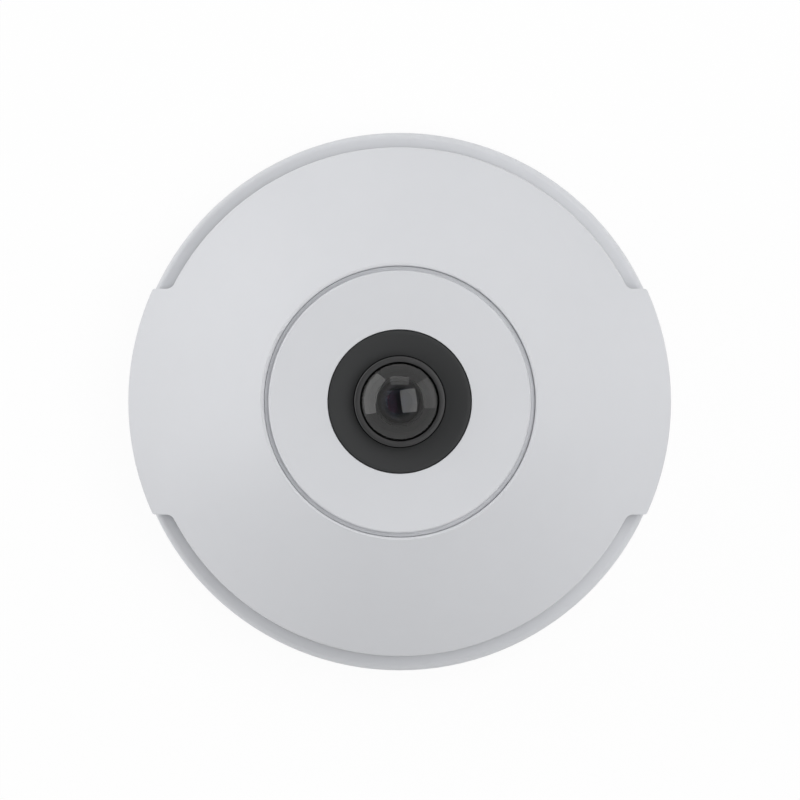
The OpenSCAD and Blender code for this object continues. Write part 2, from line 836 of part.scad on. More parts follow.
module turret_frame() color([0.8, 0.81, 0.82]) difference() {
    union() {
        translate([0, 0, turret_z]) rotate_extrude() {
            square([turret_r, turret_floor_t]);
            translate([turret_in_r, 0]) square([turret_wall, turret_h]);
            translate([turret_in_r, turret_h - flange_t]) square([flange_r - turret_in_r, flange_t]);
        }
        around(sensor_post_turns, sensor_post_at_r)
            translate([0, 0, turret_z]) cylinder(r = sensor_post_r, h = turret_floor_t + sensor_lift);
        for (turn = leg_turns) rotate(turn) turret_leg();
    }
    around(sensor_post_turns, sensor_post_at_r) translate([0, 0, sensor_z - small_bite - slip])
        cylinder(r = small_screw_r + glass_play, h = small_bite + over);
    // Foot holes, the flexible cable's slot, room for the holder's screws, and the side windows
    around(leg_turns, foot_at_r) translate([0, 0, board_top - over])
        cylinder(r = screw_r + slip, h = foot_t + 2 * over);
    translate([0, flex_y, turret_z - over]) linear_extrude(turret_floor_t + 2 * over)
        slot(flex_slot.x, flex_slot.y);
    around([0, 180], holder_ear_x) translate([0, 0, turret_z - over])
        cylinder(r = small_head_r + play, h = turret_floor_t + 2 * over);
    for (turn = turret_window_turns) rotate(turn)
        translate([turret_in_r - over, 0, (turret_floor_top + disc_z - flange_t) / 2]) rotate([90, 0, 90])
            linear_extrude(turret_wall + 2 * over) round_square([turret_window_w, turret_window_h], over);
    // Windows for the centre plate's lugs
    for (turn = lug_turns) rotate(turn)
        translate([turret_in_r - over, -lug_w / 2 - slip, disc_z - skirt_h - slip])
            cube([over + lug_out + slip, lug_w + 2 * slip, lug_h + 2 * slip]);
}

module turret_screws() color("silver") around(leg_turns, foot_at_r)
    screw(board_top + foot_t, foot_t + board_t + screw_bite, screw_r, screw_head_r, screw_head_h);

module main_board() color([0.04, 0.32, 0.17])
translate([0, 0, board_z]) linear_extrude(board_t) difference() {
    circle(r = board_r);
    // Straight cut for the jack and its plug
    cut_y = jack_at.y + jack_w + play;
    translate([jack_at.x - play, cut_y - 2 * board_r]) square(2 * board_r);
    around(board_screw_turns, board_screw_r) circle(r = screw_r + slip);
    around(leg_turns, foot_at_r) circle(r = screw_r + slip);
}

module board_screws() color("silver") around(board_screw_turns, board_screw_r)
    screw(board_top, board_t + screw_bite, screw_r, screw_head_r, screw_head_h);

module network_jack() color([0.16, 0.16, 0.17]) {
    socket_z = jack_z + socket_lift;
    middle_y = jack_at.y + jack_w / 2;
    difference() {
        union() {
            translate([jack_at.x, jack_at.y, jack_z]) cube([jack_l, jack_w, jack_h]);
            // Ears that rest on the board
            translate([jack_at.x - jack_ear, jack_at.y + jack_ear, board_top])
                cube([2 * jack_ear, jack_w - 2 * jack_ear, jack_ear_t]);
            translate([jack_at.x + jack_ear, jack_at.y + jack_w - jack_ear, board_top])
                cube([jack_l - 2 * jack_ear, 2 * jack_ear, jack_ear_t]);
        }
        translate([jack_end - socket_d, middle_y - socket_w / 2, socket_z])
            cube([socket_d + over, socket_w, socket_h]);
        // Room for the plug's latch below the socket
        translate([jack_end - socket_d / 2, middle_y - latch_w / 2, socket_z - latch_h])
            cube([socket_d / 2 + over, latch_w, latch_h + over]);
    }
}

module jack_contacts() color("gold") {
    roof_z = jack_z + socket_lift + socket_h - contact_t / 2;
    middle_y = jack_at.y + jack_w / 2;
    first = -(contact_count - 1) / 2 * contact_pitch;
    for (i = [0 : contact_count - 1]) translate([0, middle_y + first + i * contact_pitch, 0])
        upright(contact_w) strip([
            [jack_end - socket_d, roof_z],
            [jack_end - socket_d / 6, roof_z],
            [jack_end - socket_d / 6 - contact_t, roof_z - contact_t * 2],
            [jack_end - socket_d * 5 / 6, roof_z - contact_drop]
        ], contact_t);
}

module power_transformer() color([0.12, 0.11, 0.1]) difference() {
    block(transformer_at, board_top, [transformer_w, transformer_w, transformer_h], small_edge_r);
    // Winding windows on both sides
    for (side = [-1, 1]) translate([
        transformer_at.x - transformer_w, transformer_at.y + side * transformer_w / 2 - over,
        board_top + transformer_h / 4
    ]) cube([2 * transformer_w, 2 * over, transformer_h / 2]);
}

module power_coil() color([0.3, 0.3, 0.32]) translate([coil_at.x, coil_at.y, board_top]) {
    block([0, 0], 0, [coil_w, coil_w, coil_h / 4], over);
    cylinder(d = coil_d, h = coil_h);
}

module image_processor() color([0.1, 0.1, 0.11])
    block([0, 0], board_top, [chip_w, chip_w, chip_t], small_edge_r);

module thermal_pad() color([0.5, 0.6, 0.75])
    block([0, 0], board_top + chip_t, [chip_w, chip_w, pad_t], small_edge_r);

module heat_sink() color([0.7, 0.71, 0.73]) {
    bottom = board_top + chip_t + pad_t;
    block([0, 0], bottom, [sink_w, sink_w, sink_base_t], over);
    pitch = (sink_w - fin_t) / (fin_count - 1);
    for (i = [0 : fin_count - 1])
        translate([-sink_w / 2 + i * pitch, -sink_w / 2 + over, bottom])
            cube([fin_t, sink_w - 2 * over, turret_z - fin_top_gap - bottom]);
}

module memory_chips() color([0.1, 0.1, 0.11])
    for (at = memory_at) block(at, board_top, memory_size, small_edge_r / 2);

module capacitors() for (i = [0 : can_count - 1]) translate([can_at[i].x, can_at[i].y, board_top]) {
    color([0.15, 0.15, 0.16]) block([0, 0], 0, [2 * can_r, 2 * can_r, can_foot_h], over);
    color("silver") rotate_extrude() difference() {
        translate([0, can_foot_h / 2]) square([can_r - can_neck, can_h - can_foot_h / 2]);
        // Crimp above the foot and the round top edge
        translate([can_r, can_foot_h + 2 * can_neck]) circle(r = 2 * can_neck, $fn = 32);
        corner_cut([can_r - can_neck, can_h], can_neck, 1, 1);
    }
}

module status_light() color([0.4, 0.9, 0.5]) block(led_at, board_top, led_size, small_edge_r / 4);

module switch_housing() color([0.2, 0.2, 0.2]) difference() {
    block(switch_at, board_top, [switch_w, switch_w, switch_h], small_edge_r);
    translate([switch_at.x, switch_at.y, board_top + switch_h - button_depth]) cylinder(
        r = button_r + play / 2, h = button_depth + over);
    translate([switch_at.x, switch_at.y, board_top + switch_h - button_depth - switch_travel - play / 2])
        cylinder(r = button_r + button_flange + play / 2, h = button_flange_t + switch_travel + play);
}

module reset_button() color([0.9, 0.9, 0.88]) translate([switch_at.x, switch_at.y, 0]) {
    flange_z = board_top + switch_h - button_depth;
    translate([0, 0, flange_z]) cylinder(r = button_r + button_flange, h = button_flange_t);
    translate([0, 0, flange_z]) cylinder(r = button_r, h = button_depth + button_h);
}

// Outer size of the card slot
slot_size = [card_w + 2 * (slot_wall + play), slot_l, card_lift + card_t + play + slot_lid_t];

module card_slot() color("silver") difference() {
    translate([card_at.x - slot_wall - play, card_at.y - slot_wall - play, board_top]) cube(slot_size);
    translate([card_at.x - play, card_at.y - play, board_top + card_lift - slip])
        cube([card_w + 2 * play, 2 * card_l, card_t + slip + play]);
    // Spring tongues pressed out of the lid
    for (side = [-1, 1])
        translate([card_at.x + (2 + side) * card_w / 4, card_at.y + slot_l / 2, board_top])
            linear_extrude(2 * slot_size.z) slot(card_w / 4, card_t);
}

module memory_card() color([0.08, 0.08, 0.09]) difference() {
    translate([card_at.x, card_at.y, board_top + card_lift]) linear_extrude(card_t) difference() {
        square([card_w, card_l]);
        // The card's step on one long side
        translate([card_w - over, 0]) square([2 * over, card_l * card_step_share]);
    }
    // Groove for a finger nail
    translate([
        card_at.x + card_w / 6, card_at.y + card_l - card_grip,
        board_top + card_lift + card_t - card_grip_d
    ]) cube([card_w * 2 / 3, card_grip / 2, card_t]);
}

// Section of the base: skirt, shoulder, upstand and floor
module base_section() {
    difference() {
        union() {
            translate([skirt_in_r, rim_gap]) square([base_wall, shoulder_z - rim_gap]);
            translate([upstand_in_r, shoulder_z - shoulder_t]) square([base_r - upstand_in_r, shoulder_t]);
            translate([upstand_in_r, floor_z]) square([upstand_t, upstand_top - floor_z]);
            translate([0, floor_z]) square([upstand_r, base_floor_t]);
        }
        corner_cut([base_r, shoulder_z], shoulder_edge_r, 1, 1);
        corner_cut([base_r, rim_gap], foot_edge_r, 1, -1);
        corner_cut([upstand_r, upstand_top], small_edge_r, 1, 1);
    }
}

// Bayonet ledge with its stop, centred on +X
module ledge() {
    rotate(-ledge_span / 2) rotate_extrude(angle = ledge_span)
        translate([ledge_in_r, ledge_z]) square([ledge_depth + base_wall / 2, ledge_t]);
    rotate(hook_span / 2 + stop_play) rotate_extrude(angle = stop_span)
        translate([ledge_in_r, ledge_z]) square([ledge_depth + base_wall / 2, hook_top - ledge_z]);
}

hook_turns = [for (i = [0 : hook_count - 1]) hook_turn + i * 360 / hook_count];

module base_housing() color([0.85, 0.86, 0.87]) difference() {
    union() {
        rotate_extrude() base_section();
        around(board_screw_turns, board_screw_r)
            translate([0, 0, floor_z + sink]) cylinder(r = boss_r, h = board_z - floor_z - sink);
        around(leg_turns, foot_at_r)
            translate([0, 0, floor_z + sink]) cylinder(r = boss_r, h = board_z - floor_z - sink);
        for (turn = hook_turns) rotate(turn) ledge();
        // Ribs and ring under the floor
        for (turn = floor_rib_angles) rotate(turn)
            translate([floor_ring_r, -floor_rib_t / 2, floor_z - floor_rib_h])
                cube([upstand_in_r - floor_ring_r, floor_rib_t, floor_rib_h + sink]);
        translate([0, 0, floor_z - floor_rib_h])
            ring(floor_ring_r + floor_rib_t, floor_ring_r, floor_rib_h + sink);
        // Pads under the jack
        for (share = jack_pad_shares) translate([
            jack_at.x + jack_l * share - jack_pad_w / 2, jack_at.y + jack_pad_w, floor_top - sink
        ]) cube([jack_pad_w, jack_w - 2 * jack_pad_w, jack_z - floor_top + sink]);
    }
    around(board_screw_turns, board_screw_r)
        translate([0, 0, board_z - screw_bite - slip])
            cylinder(r = screw_r + glass_play, h = screw_bite + over);
    around(leg_turns, foot_at_r)
        translate([0, 0, board_z - screw_bite - slip])
            cylinder(r = screw_r + glass_play, h = screw_bite + over);
    translate([cable_at.x, cable_at.y, floor_z - over - floor_rib_h])
        cylinder(r = cable_hole_r, h = base_floor_t + floor_rib_h + 2 * over);
    // Catch windows for the clips and notches for the cover's keys
    for (turn = clip_angles) rotate(turn) translate([upstand_in_r - over, -clip_w / 2 - play, catch_z])
        cube([upstand_t + 2 * over, clip_w + 2 * play, catch_h]);
    for (turn = key_angles) rotate(turn) translate([upstand_in_r - over, -key_w / 2, shoulder_z])
        cube([upstand_t + 2 * over, key_w, upstand_h + over]);
    // Side cable entry
    rotate(entry_turn - entry_span / 2) rotate_extrude(angle = entry_span)
        translate([skirt_in_r - over, rim_gap - over]) square([base_wall + 2 * over, entry_h + over]);
}

module side_entry_lid() color([0.84, 0.85, 0.86]) {
    lid_span = entry_span - 2 * asin(slip / base_r);
    rotate(entry_turn - lid_span / 2) rotate_extrude(angle = lid_span) difference() {
        translate([skirt_in_r, rim_gap]) square([base_wall, entry_h - slip]);
        corner_cut([base_r, rim_gap], foot_edge_r, 1, -1);
        // Grip grooves across the lid's face
        for (i = [0 : lid_grip_count - 1])
            translate([base_r - lid_grip_t / 2, rim_gap + entry_h / 4 + i * 2 * lid_grip_h])
                square([lid_grip_t, lid_grip_h]);
    }
}

module cable_grommet() color([0.12, 0.12, 0.12]) translate([cable_at.x, cable_at.y, 0]) rotate_extrude() {
    difference() {
        union() {
            translate([0, floor_z - grommet_flange_t])
                square([cable_hole_r - glass_play, base_floor_t + 2 * grommet_flange_t]);
            translate([0, floor_z - grommet_flange_t])
                square([cable_hole_r + grommet_flange, grommet_flange_t]);
            translate([0, floor_top]) square([cable_hole_r + grommet_flange, grommet_flange_t]);
        }
        square([cable_d / 2, 2 * floor_top]);
        corner_cut([cable_hole_r + grommet_flange, floor_top + grommet_flange_t], small_edge_r, 1, 1);
        corner_cut([cable_hole_r + grommet_flange, floor_z - grommet_flange_t], small_edge_r, 1, -1);
    }
}

module hook() {
    rotate(-hook_span / 2) rotate_extrude(angle = hook_span) polygon([
        [hook_post_r - hook_wall, plate_t / 2],
        [hook_post_r, plate_t / 2],
        [hook_post_r, hook_lip_z],
        [hook_out_r, hook_lip_z],
        [hook_out_r, hook_top],
        [hook_post_r - hook_wall, hook_top]
    ]);
}

module mounting_plate() color([0.25, 0.25, 0.26]) difference() {
    union() {
        rotate_extrude() difference() {
            union() {
                square([plate_r, plate_t]);
                square([plate_hole_r + plate_lip_w, plate_t + plate_lip_h]);
            }
            translate([0, -over]) square([plate_hole_r, plate_t + plate_lip_h + 2 * over]);
            corner_cut([plate_r, plate_t], small_edge_r, 1, 1);
            corner_cut([plate_hole_r + plate_lip_w, plate_t + plate_lip_h], small_edge_r, 1, 1);
        }
        for (turn = hook_turns) rotate(turn) hook();
    }
    for (side = [-1, 1]) translate([side * box_spacing / 2, 0, -over])
        linear_extrude(plate_t + 2 * over) slot(box_slot_l, box_slot_w);
    around([45 : 90 : 359], wall_pcd / 2)
        translate([0, 0, -over]) cylinder(d = wall_hole_d, h = plate_t + 2 * over);
}

mounting_plate();
base_housing();
cable_grommet();
side_entry_lid();
main_board();
network_jack();
jack_contacts();
power_transformer();
power_coil();
image_processor();
thermal_pad();
heat_sink();
memory_chips();
capacitors();
board_connector();
card_slot();
memory_card();
switch_housing();
reset_button();
status_light();
board_screws();
turret_frame();
turret_screws();
sensor_board();
sensor_screws();
sensor_connector();
flex_cable();
image_sensor();
sensor_glass();
lens_holder();
holder_screws();
ir_filter();
lens_barrel();
lens_lock_ring();
rear_glass();
middle_glass();
front_glass();
lens_retaining_ring();
centre_plate();
lens_bezel();
bezel_seal();
front_cover();
cover_clips();
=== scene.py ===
"""Looks of a round ceiling camera with a fisheye lens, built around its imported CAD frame.

Sizes in the classes are in millimetres, as on a drawing. A mesh is scaled to metres when it
becomes a piece.
"""

import json
import logging
import math
import random
from dataclasses import dataclass, field
from enum import Enum
from functools import cache
from typing import Callable, Mapping, Optional, Union

import bmesh
import bpy
from mathutils import Matrix, Vector


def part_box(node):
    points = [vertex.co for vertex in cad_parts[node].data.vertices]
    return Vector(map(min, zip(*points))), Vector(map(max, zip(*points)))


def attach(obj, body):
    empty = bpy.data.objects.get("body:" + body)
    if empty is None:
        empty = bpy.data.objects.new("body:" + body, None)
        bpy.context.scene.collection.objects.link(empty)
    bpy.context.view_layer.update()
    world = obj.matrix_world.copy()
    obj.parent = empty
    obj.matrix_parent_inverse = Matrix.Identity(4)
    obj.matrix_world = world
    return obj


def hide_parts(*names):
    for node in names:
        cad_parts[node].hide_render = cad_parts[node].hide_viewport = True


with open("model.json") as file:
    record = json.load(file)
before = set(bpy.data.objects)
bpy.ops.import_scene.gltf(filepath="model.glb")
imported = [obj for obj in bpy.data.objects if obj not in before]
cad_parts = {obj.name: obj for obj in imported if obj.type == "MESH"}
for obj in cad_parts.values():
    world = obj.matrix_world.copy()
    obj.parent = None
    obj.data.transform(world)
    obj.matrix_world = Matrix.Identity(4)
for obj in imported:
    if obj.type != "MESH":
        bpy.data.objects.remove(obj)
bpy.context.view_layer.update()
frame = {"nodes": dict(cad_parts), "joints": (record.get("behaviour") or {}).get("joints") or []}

log = logging.getLogger("fisheye_camera")

MM = 0.001
FULL_TURN = 2 * math.pi
NEAR = 0.02  # how close a face's middle lies to the surface that it belongs to
FINE = 192  # steps of a whole turn on what shows
MERGE = 0.0005  # points that are closer than this are one
CREASE = math.radians(34)  # sharper edges stay crisp
CORNER = math.radians(30)  # sharper edges are rounded

Number = Union[float, "Wire"]
Colour = tuple[float, float, float]
Tone = Union[Colour, bpy.types.NodeSocket]
Point = tuple[float, float]
Size = tuple[float, float, float]
Area = tuple[float, float, float, float]


# Shader arithmetic


def operator(operation: str) -> Callable[..., "Wire"]:
    """A method that puts a wire and another number through a Math node.

    Args:
        operation: The node's operation.

    Returns:
        The method.
    """

    def method(self: "Wire", other: "Number" = 0.0) -> "Wire":
        """Adds the node."""
        return self.net.wire("ShaderNodeMath", {"operation": operation}, {0: self, 1: other})

    return method


class Wire:
    """A number inside a node tree, which takes Python's own arithmetic.

    A comparison is 1 where it holds, else 0.
    """

    def __init__(self, net: "Net", socket: bpy.types.NodeSocket) -> None:
        """Keeps the tree and the socket that the number comes from."""
        self.net = net
        self.socket = socket

    def __rsub__(self, other: float) -> "Wire":
        """Difference from a number on the left."""
        return self * -1.0 + other

    def stripe(self, period: float, half: float) -> "Wire":
        """1 on the stripe in the middle of each period, whose half width is a share of it."""
        return abs((self / period).fraction() - 0.5) < half

    def swing(self, width: float) -> "Wire":
        """Noise about zero instead of about a half, and so many units wide."""
        return (self - 0.5) * width

    __add__ = __radd__ = operator("ADD")
    __mul__ = __rmul__ = operator("MULTIPLY")
    __sub__ = operator("SUBTRACT")
    __truediv__ = operator("DIVIDE")
    __gt__ = operator("GREATER_THAN")
    __lt__ = operator("LESS_THAN")
    __abs__ = operator("ABSOLUTE")
    fraction = operator("FRACT")
    larger = operator("MAXIMUM")


class Net:
    """One node tree and the ways in which nodes are added to it."""

    def __init__(self, tree: bpy.types.NodeTree) -> None:
        """Empties the tree."""
        self.tree = tree
        tree.nodes.clear()

    def node(self, kind: str, settings: Mapping = {}, inputs: Mapping = {}) -> bpy.types.Node:
        """Adds a node.

        Args:
            kind: The node's type.
            settings: Its properties, such as a Math node's operation, set first.
            inputs: Values, wires or sockets by the socket's name or number.

        Returns:
            The node.
        """
        made = self.tree.nodes.new(kind)
        for key, value in settings.items():
            setattr(made, key, value)
        for key, value in inputs.items():
            socket = made.inputs[key]
            source = value.socket if isinstance(value, Wire) else value
            if isinstance(source, bpy.types.NodeSocket):
                self.tree.links.new(source, socket)
            elif socket.type == "RGBA":
                socket.default_value = (*source, 1.0)
            else:
                socket.default_value = source
        return made

    def wire(self, kind: str, settings: Mapping = {}, inputs: Mapping = {},
             out: Union[int, str] = 0) -> Wire:
        """Adds a node and returns one of its outputs as a number."""
        return Wire(self, self.node(kind, settings, inputs).outputs[out])

    def blend(self, share: Number, first: Tone, second: Tone) -> bpy.types.NodeSocket:
        """Mixes two colours; a share of 0 gives the first and 1 the second."""
        made = self.node("ShaderNodeMix", {"data_type": "RGBA"}, {0: share, 6: first, 7: second})
        return made.outputs[2]

    def place(self, stretch: Size = (1.0, 1.0, 1.0)) -> bpy.types.NodeSocket:
        """The point on the object, in metres, stretched along its axes."""
        coordinate = self.node("ShaderNodeTexCoord").outputs["Object"]
        return self.node("ShaderNodeMapping", {}, {"Vector": coordinate, "Scale": stretch}).outputs[0]

    def axes(self) -> list[Wire]:
        """The point's three coordinates in millimetres."""
        parts = self.node("ShaderNodeSeparateXYZ", {}, {0: self.place((1 / MM,) * 3)})
        return [Wire(self, part) for part in parts.outputs]

    def noise(self, size: float, detail: float = 2.0, where: Optional[bpy.types.NodeSocket] = None) -> Wire:
        """Soft noise about a half, with lumps of a size in millimetres."""
        inputs = {"Vector": where or self.place(), "Scale": 1 / (size * MM), "Detail": detail}
        return self.wire("ShaderNodeTexNoise", {}, inputs)

    def bump(self, height: Wire, depth: float) -> bpy.types.NodeSocket:
        """The normal of a relief that is so many millimetres deep."""
        made = self.node("ShaderNodeBump", {}, {"Strength": 1.0, "Distance": depth * MM, "Height": height})
        return made.outputs[0]


# Finishes


@dataclass(frozen=True)
class Finish:
    """What every finish has. A kind of finish adds its own fields and paint method."""

    name: str
    colour: Colour
    roughness: float

    @cache
    def material(self) -> bpy.types.Material:
        """Makes the finish's material when it is first asked for.

        Returns:
            The material.
        """
        made = bpy.data.materials.new(f"{self.name}_finish")
        made.use_nodes = True
        net = Net(made.node_tree)
        shader = net.node("ShaderNodeBsdfPrincipled", {}, self.paint(net))
        net.node("ShaderNodeOutputMaterial", {}, {"Surface": shader.outputs[0]})
        return made

    def paint(self, net: Net) -> dict:
        """Values and links of the shader's sockets.

        Args:
            net: The material's tree.

        Returns:
            What goes into the shader, by the socket's name.
        """
        raise NotImplementedError

    def shade(self, share: float) -> Colour:
        """The finish's colour times a share."""
        red, green, blue = self.colour
        return (red * share, green * share, blue * share)


@dataclass(frozen=True)
class Moulded(Finish):
    """Moulded plastic or rubber with a spark-eroded grain and a faint unevenness."""

    grain: float = 0.32
    depth: float = 0.006
    mottle: float = 0.035
    sheen_spread: float = 0.05
    gloss: float = 0.5
    drift_size: float = 26.0
    drift_share: float = 0.7
    flow_size: float = 4.0

    def paint(self, net: Net) -> dict:
        """Grain in the relief and the roughness, slow drift in the colour.

        Args:
            net: The material's tree.

        Returns:
            What goes into the shader, by the socket's name.
        """
        drift = net.noise(self.drift_size, 1.0)
        flow = net.noise(self.flow_size)
        grain = net.noise(self.grain)
        uneven = drift * self.drift_share + flow * (1 - self.drift_share)
        return {
            "Base Color": net.blend(uneven, self.shade(1 - self.mottle), self.shade(1 + self.mottle)),
            "Roughness": self.roughness + flow.swing(self.sheen_spread) + grain.swing(self.sheen_spread),
            "Specular IOR Level": self.gloss,
            "Normal": net.bump(grain, self.depth),
        }


class Working(Enum):
    """How a metal piece was worked, with the stretch of its marks along X, Y and Z."""

    TURNED = (1.0, 1.0, 0.0)
    DRAWN = (1.0, 0.04, 1.0)
    ROLLED = (0.05, 1.0, 1.0)
    BLASTED = (1.0, 1.0, 1.0)


@dataclass(frozen=True)
class Metal(Finish):
    """Bare, plated or blackened metal with tool marks."""

    working: Working = Working.ROLLED
    marks: float = 0.05
    depth: float = 0.002
    metallic: float = 1.0
    tarnish: float = 0.1
    mark_detail: float = 1.0
    mark_spread: float = 0.16
    stain_size: float = 2.5
    stain_detail: float = 3.0
    stain_share: float = 0.6
    stain_spread: float = 0.1

    def _marks(self, net: Net) -> Wire:
        """Noise that runs the way in which the piece was worked: round it where it was turned.

        Args:
            net: The material's tree.

        Returns:
            The noise.
        """
        where = net.place(self.working.value)
        if self.working is Working.BLASTED:
            return net.noise(self.marks, self.stain_detail, where)
        if self.working is Working.TURNED:
            radius = net.wire("ShaderNodeVectorMath", {"operation": "LENGTH"}, {0: where}, "Value")
            where = net.node("ShaderNodeCombineXYZ", {}, {0: radius, 1: net.axes()[2] * MM}).outputs[0]
        return net.noise(self.marks, self.mark_detail, where)

    def paint(self, net: Net) -> dict:
        """Marks along the way the piece was worked, with a little tarnish.

        Args:
            net: The material's tree.

        Returns:
            What goes into the shader, by the socket's name.
        """
        marks = self._marks(net)
        stain = net.noise(self.stain_size, self.stain_detail)
        uneven = stain * self.stain_share + marks * (1 - self.stain_share)
        return {
            "Base Color": net.blend(uneven, self.shade(1 - self.tarnish), self.shade(1 + self.tarnish / 2)),
            "Metallic": self.metallic,
            "Roughness": self.roughness + marks.swing(self.mark_spread) + stain.swing(self.stain_spread),
            "Normal": net.bump(marks, self.depth),
        }


@dataclass(frozen=True)
class Glass(Finish):
    """Optical glass. Its coating sets how much of the studio it mirrors, and in what tint."""

    index: float = 1.52
    coating: float = 0.5
    coating_tint: Colour = (1.0, 1.0, 1.0)
    clear: float = 1.0
    streak: float = 2.5
    dullest: float = 0.97

    def paint(self, net: Net) -> dict:
        """Clear body with a trace of unevenness in its colour.

        Args:
            net: The material's tree.

        Returns:
            What goes into the shader, by the socket's name.
        """
        return {
            "Base Color": net.blend(net.noise(self.streak, 1.0), self.shade(self.dullest), self.colour),
            "Roughness": self.roughness,
            "IOR": self.index,
            "Transmission Weight": self.clear,
            "Specular IOR Level": self.coating,
            "Specular Tint": self.coating_tint,
        }


@dataclass(frozen=True)
class SolderMask(Finish):
    """Circuit board: mask over copper tracks, tinned pads, and the bare glass fibre of its edge."""

    copper: Colour = (0.09, 0.30, 0.17)
    fibre: Colour = (0.42, 0.40, 0.22)
    tin: Colour = (0.55, 0.56, 0.55)
    track_pitch: float = 0.9
    track_half: float = 0.24
    turn_patch: float = 7.0
    track_patch: float = 5.0
    track_bare: float = 0.42
    pad_pitch: float = 3.6
    pad_scatter: float = 0.8
    pad_reach: float = 0.1
    pad_patch: float = 9.0
    pad_bare: float = 0.45
    relief: float = 0.02
    track_rise: float = 0.6
    shine: float = 0.9
    edge_dullness: float = 0.4
    weave: float = 0.5
    weave_spread: float = 0.08

    def paint(self, net: Net) -> dict:
        """Tracks and pads by place on the board, and the edge by the way it faces.

        Args:
            net: The material's tree.

        Returns:
            What goes into the shader, by the socket's name.
        """
        x, y, _ = net.axes()
        turn = net.noise(self.turn_patch, 0.0) > 0.5
        slanted = (x + y).stripe(self.track_pitch, self.track_half)
        straight = y.stripe(self.track_pitch, self.track_half)
        laid = net.noise(self.track_patch, 1.0) > self.track_bare
        tracks = (slanted * turn + straight * (1 - turn)) * laid
        pad = net.wire(
            "ShaderNodeTexVoronoi", {"distance": "CHEBYCHEV"},
            {"Vector": net.place(), "Scale": 1 / (self.pad_pitch * MM), "Randomness": self.pad_scatter},
            "Distance",
        )
        pads = (pad < self.pad_reach) * (net.noise(self.pad_patch, 1.0) > self.pad_bare)
        facing = net.node("ShaderNodeNewGeometry").outputs["Normal"]
        edge = abs(net.wire("ShaderNodeSeparateXYZ", {}, {0: facing}, 2)) < 0.5
        tinned = net.blend(pads, net.blend(tracks, self.colour, self.copper), self.tin)
        weave = net.noise(self.weave) * self.weave_spread
        return {
            "Base Color": net.blend(edge, tinned, self.fibre),
            "Metallic": pads * (1 - edge) * self.shine,
            "Roughness": self.roughness + edge * self.edge_dullness + weave,
            "Normal": net.bump(tracks * self.track_rise + pads, self.relief),
        }


@dataclass(frozen=True)
class Film(Finish):
    """Flexible cable: amber film with copper conductors that run along it."""

    copper: Colour = (0.50, 0.24, 0.10)
    pitch: float = 0.5
    conductor_half: float = 0.27
    reach: float = 4.6
    wave: float = 0.8
    wave_spread: float = 0.1
    relief: float = 0.01

    def paint(self, net: Net) -> dict:
        """Conductors side by side across X.

        Args:
            net: The material's tree.

        Returns:
            What goes into the shader, by the socket's name.
        """
        x = net.axes()[0]
        line = x.stripe(self.pitch, self.conductor_half) * (abs(x) < self.reach)
        return {
            "Base Color": net.blend(line, self.colour, self.copper),
            "Roughness": self.roughness + net.noise(self.wave) * self.wave_spread,
            "Normal": net.bump(line, self.relief),
        }


LIGHT_GREY: Colour = (0.650, 0.659, 0.684)
CLEAR: Colour = (1.0, 1.0, 1.0)

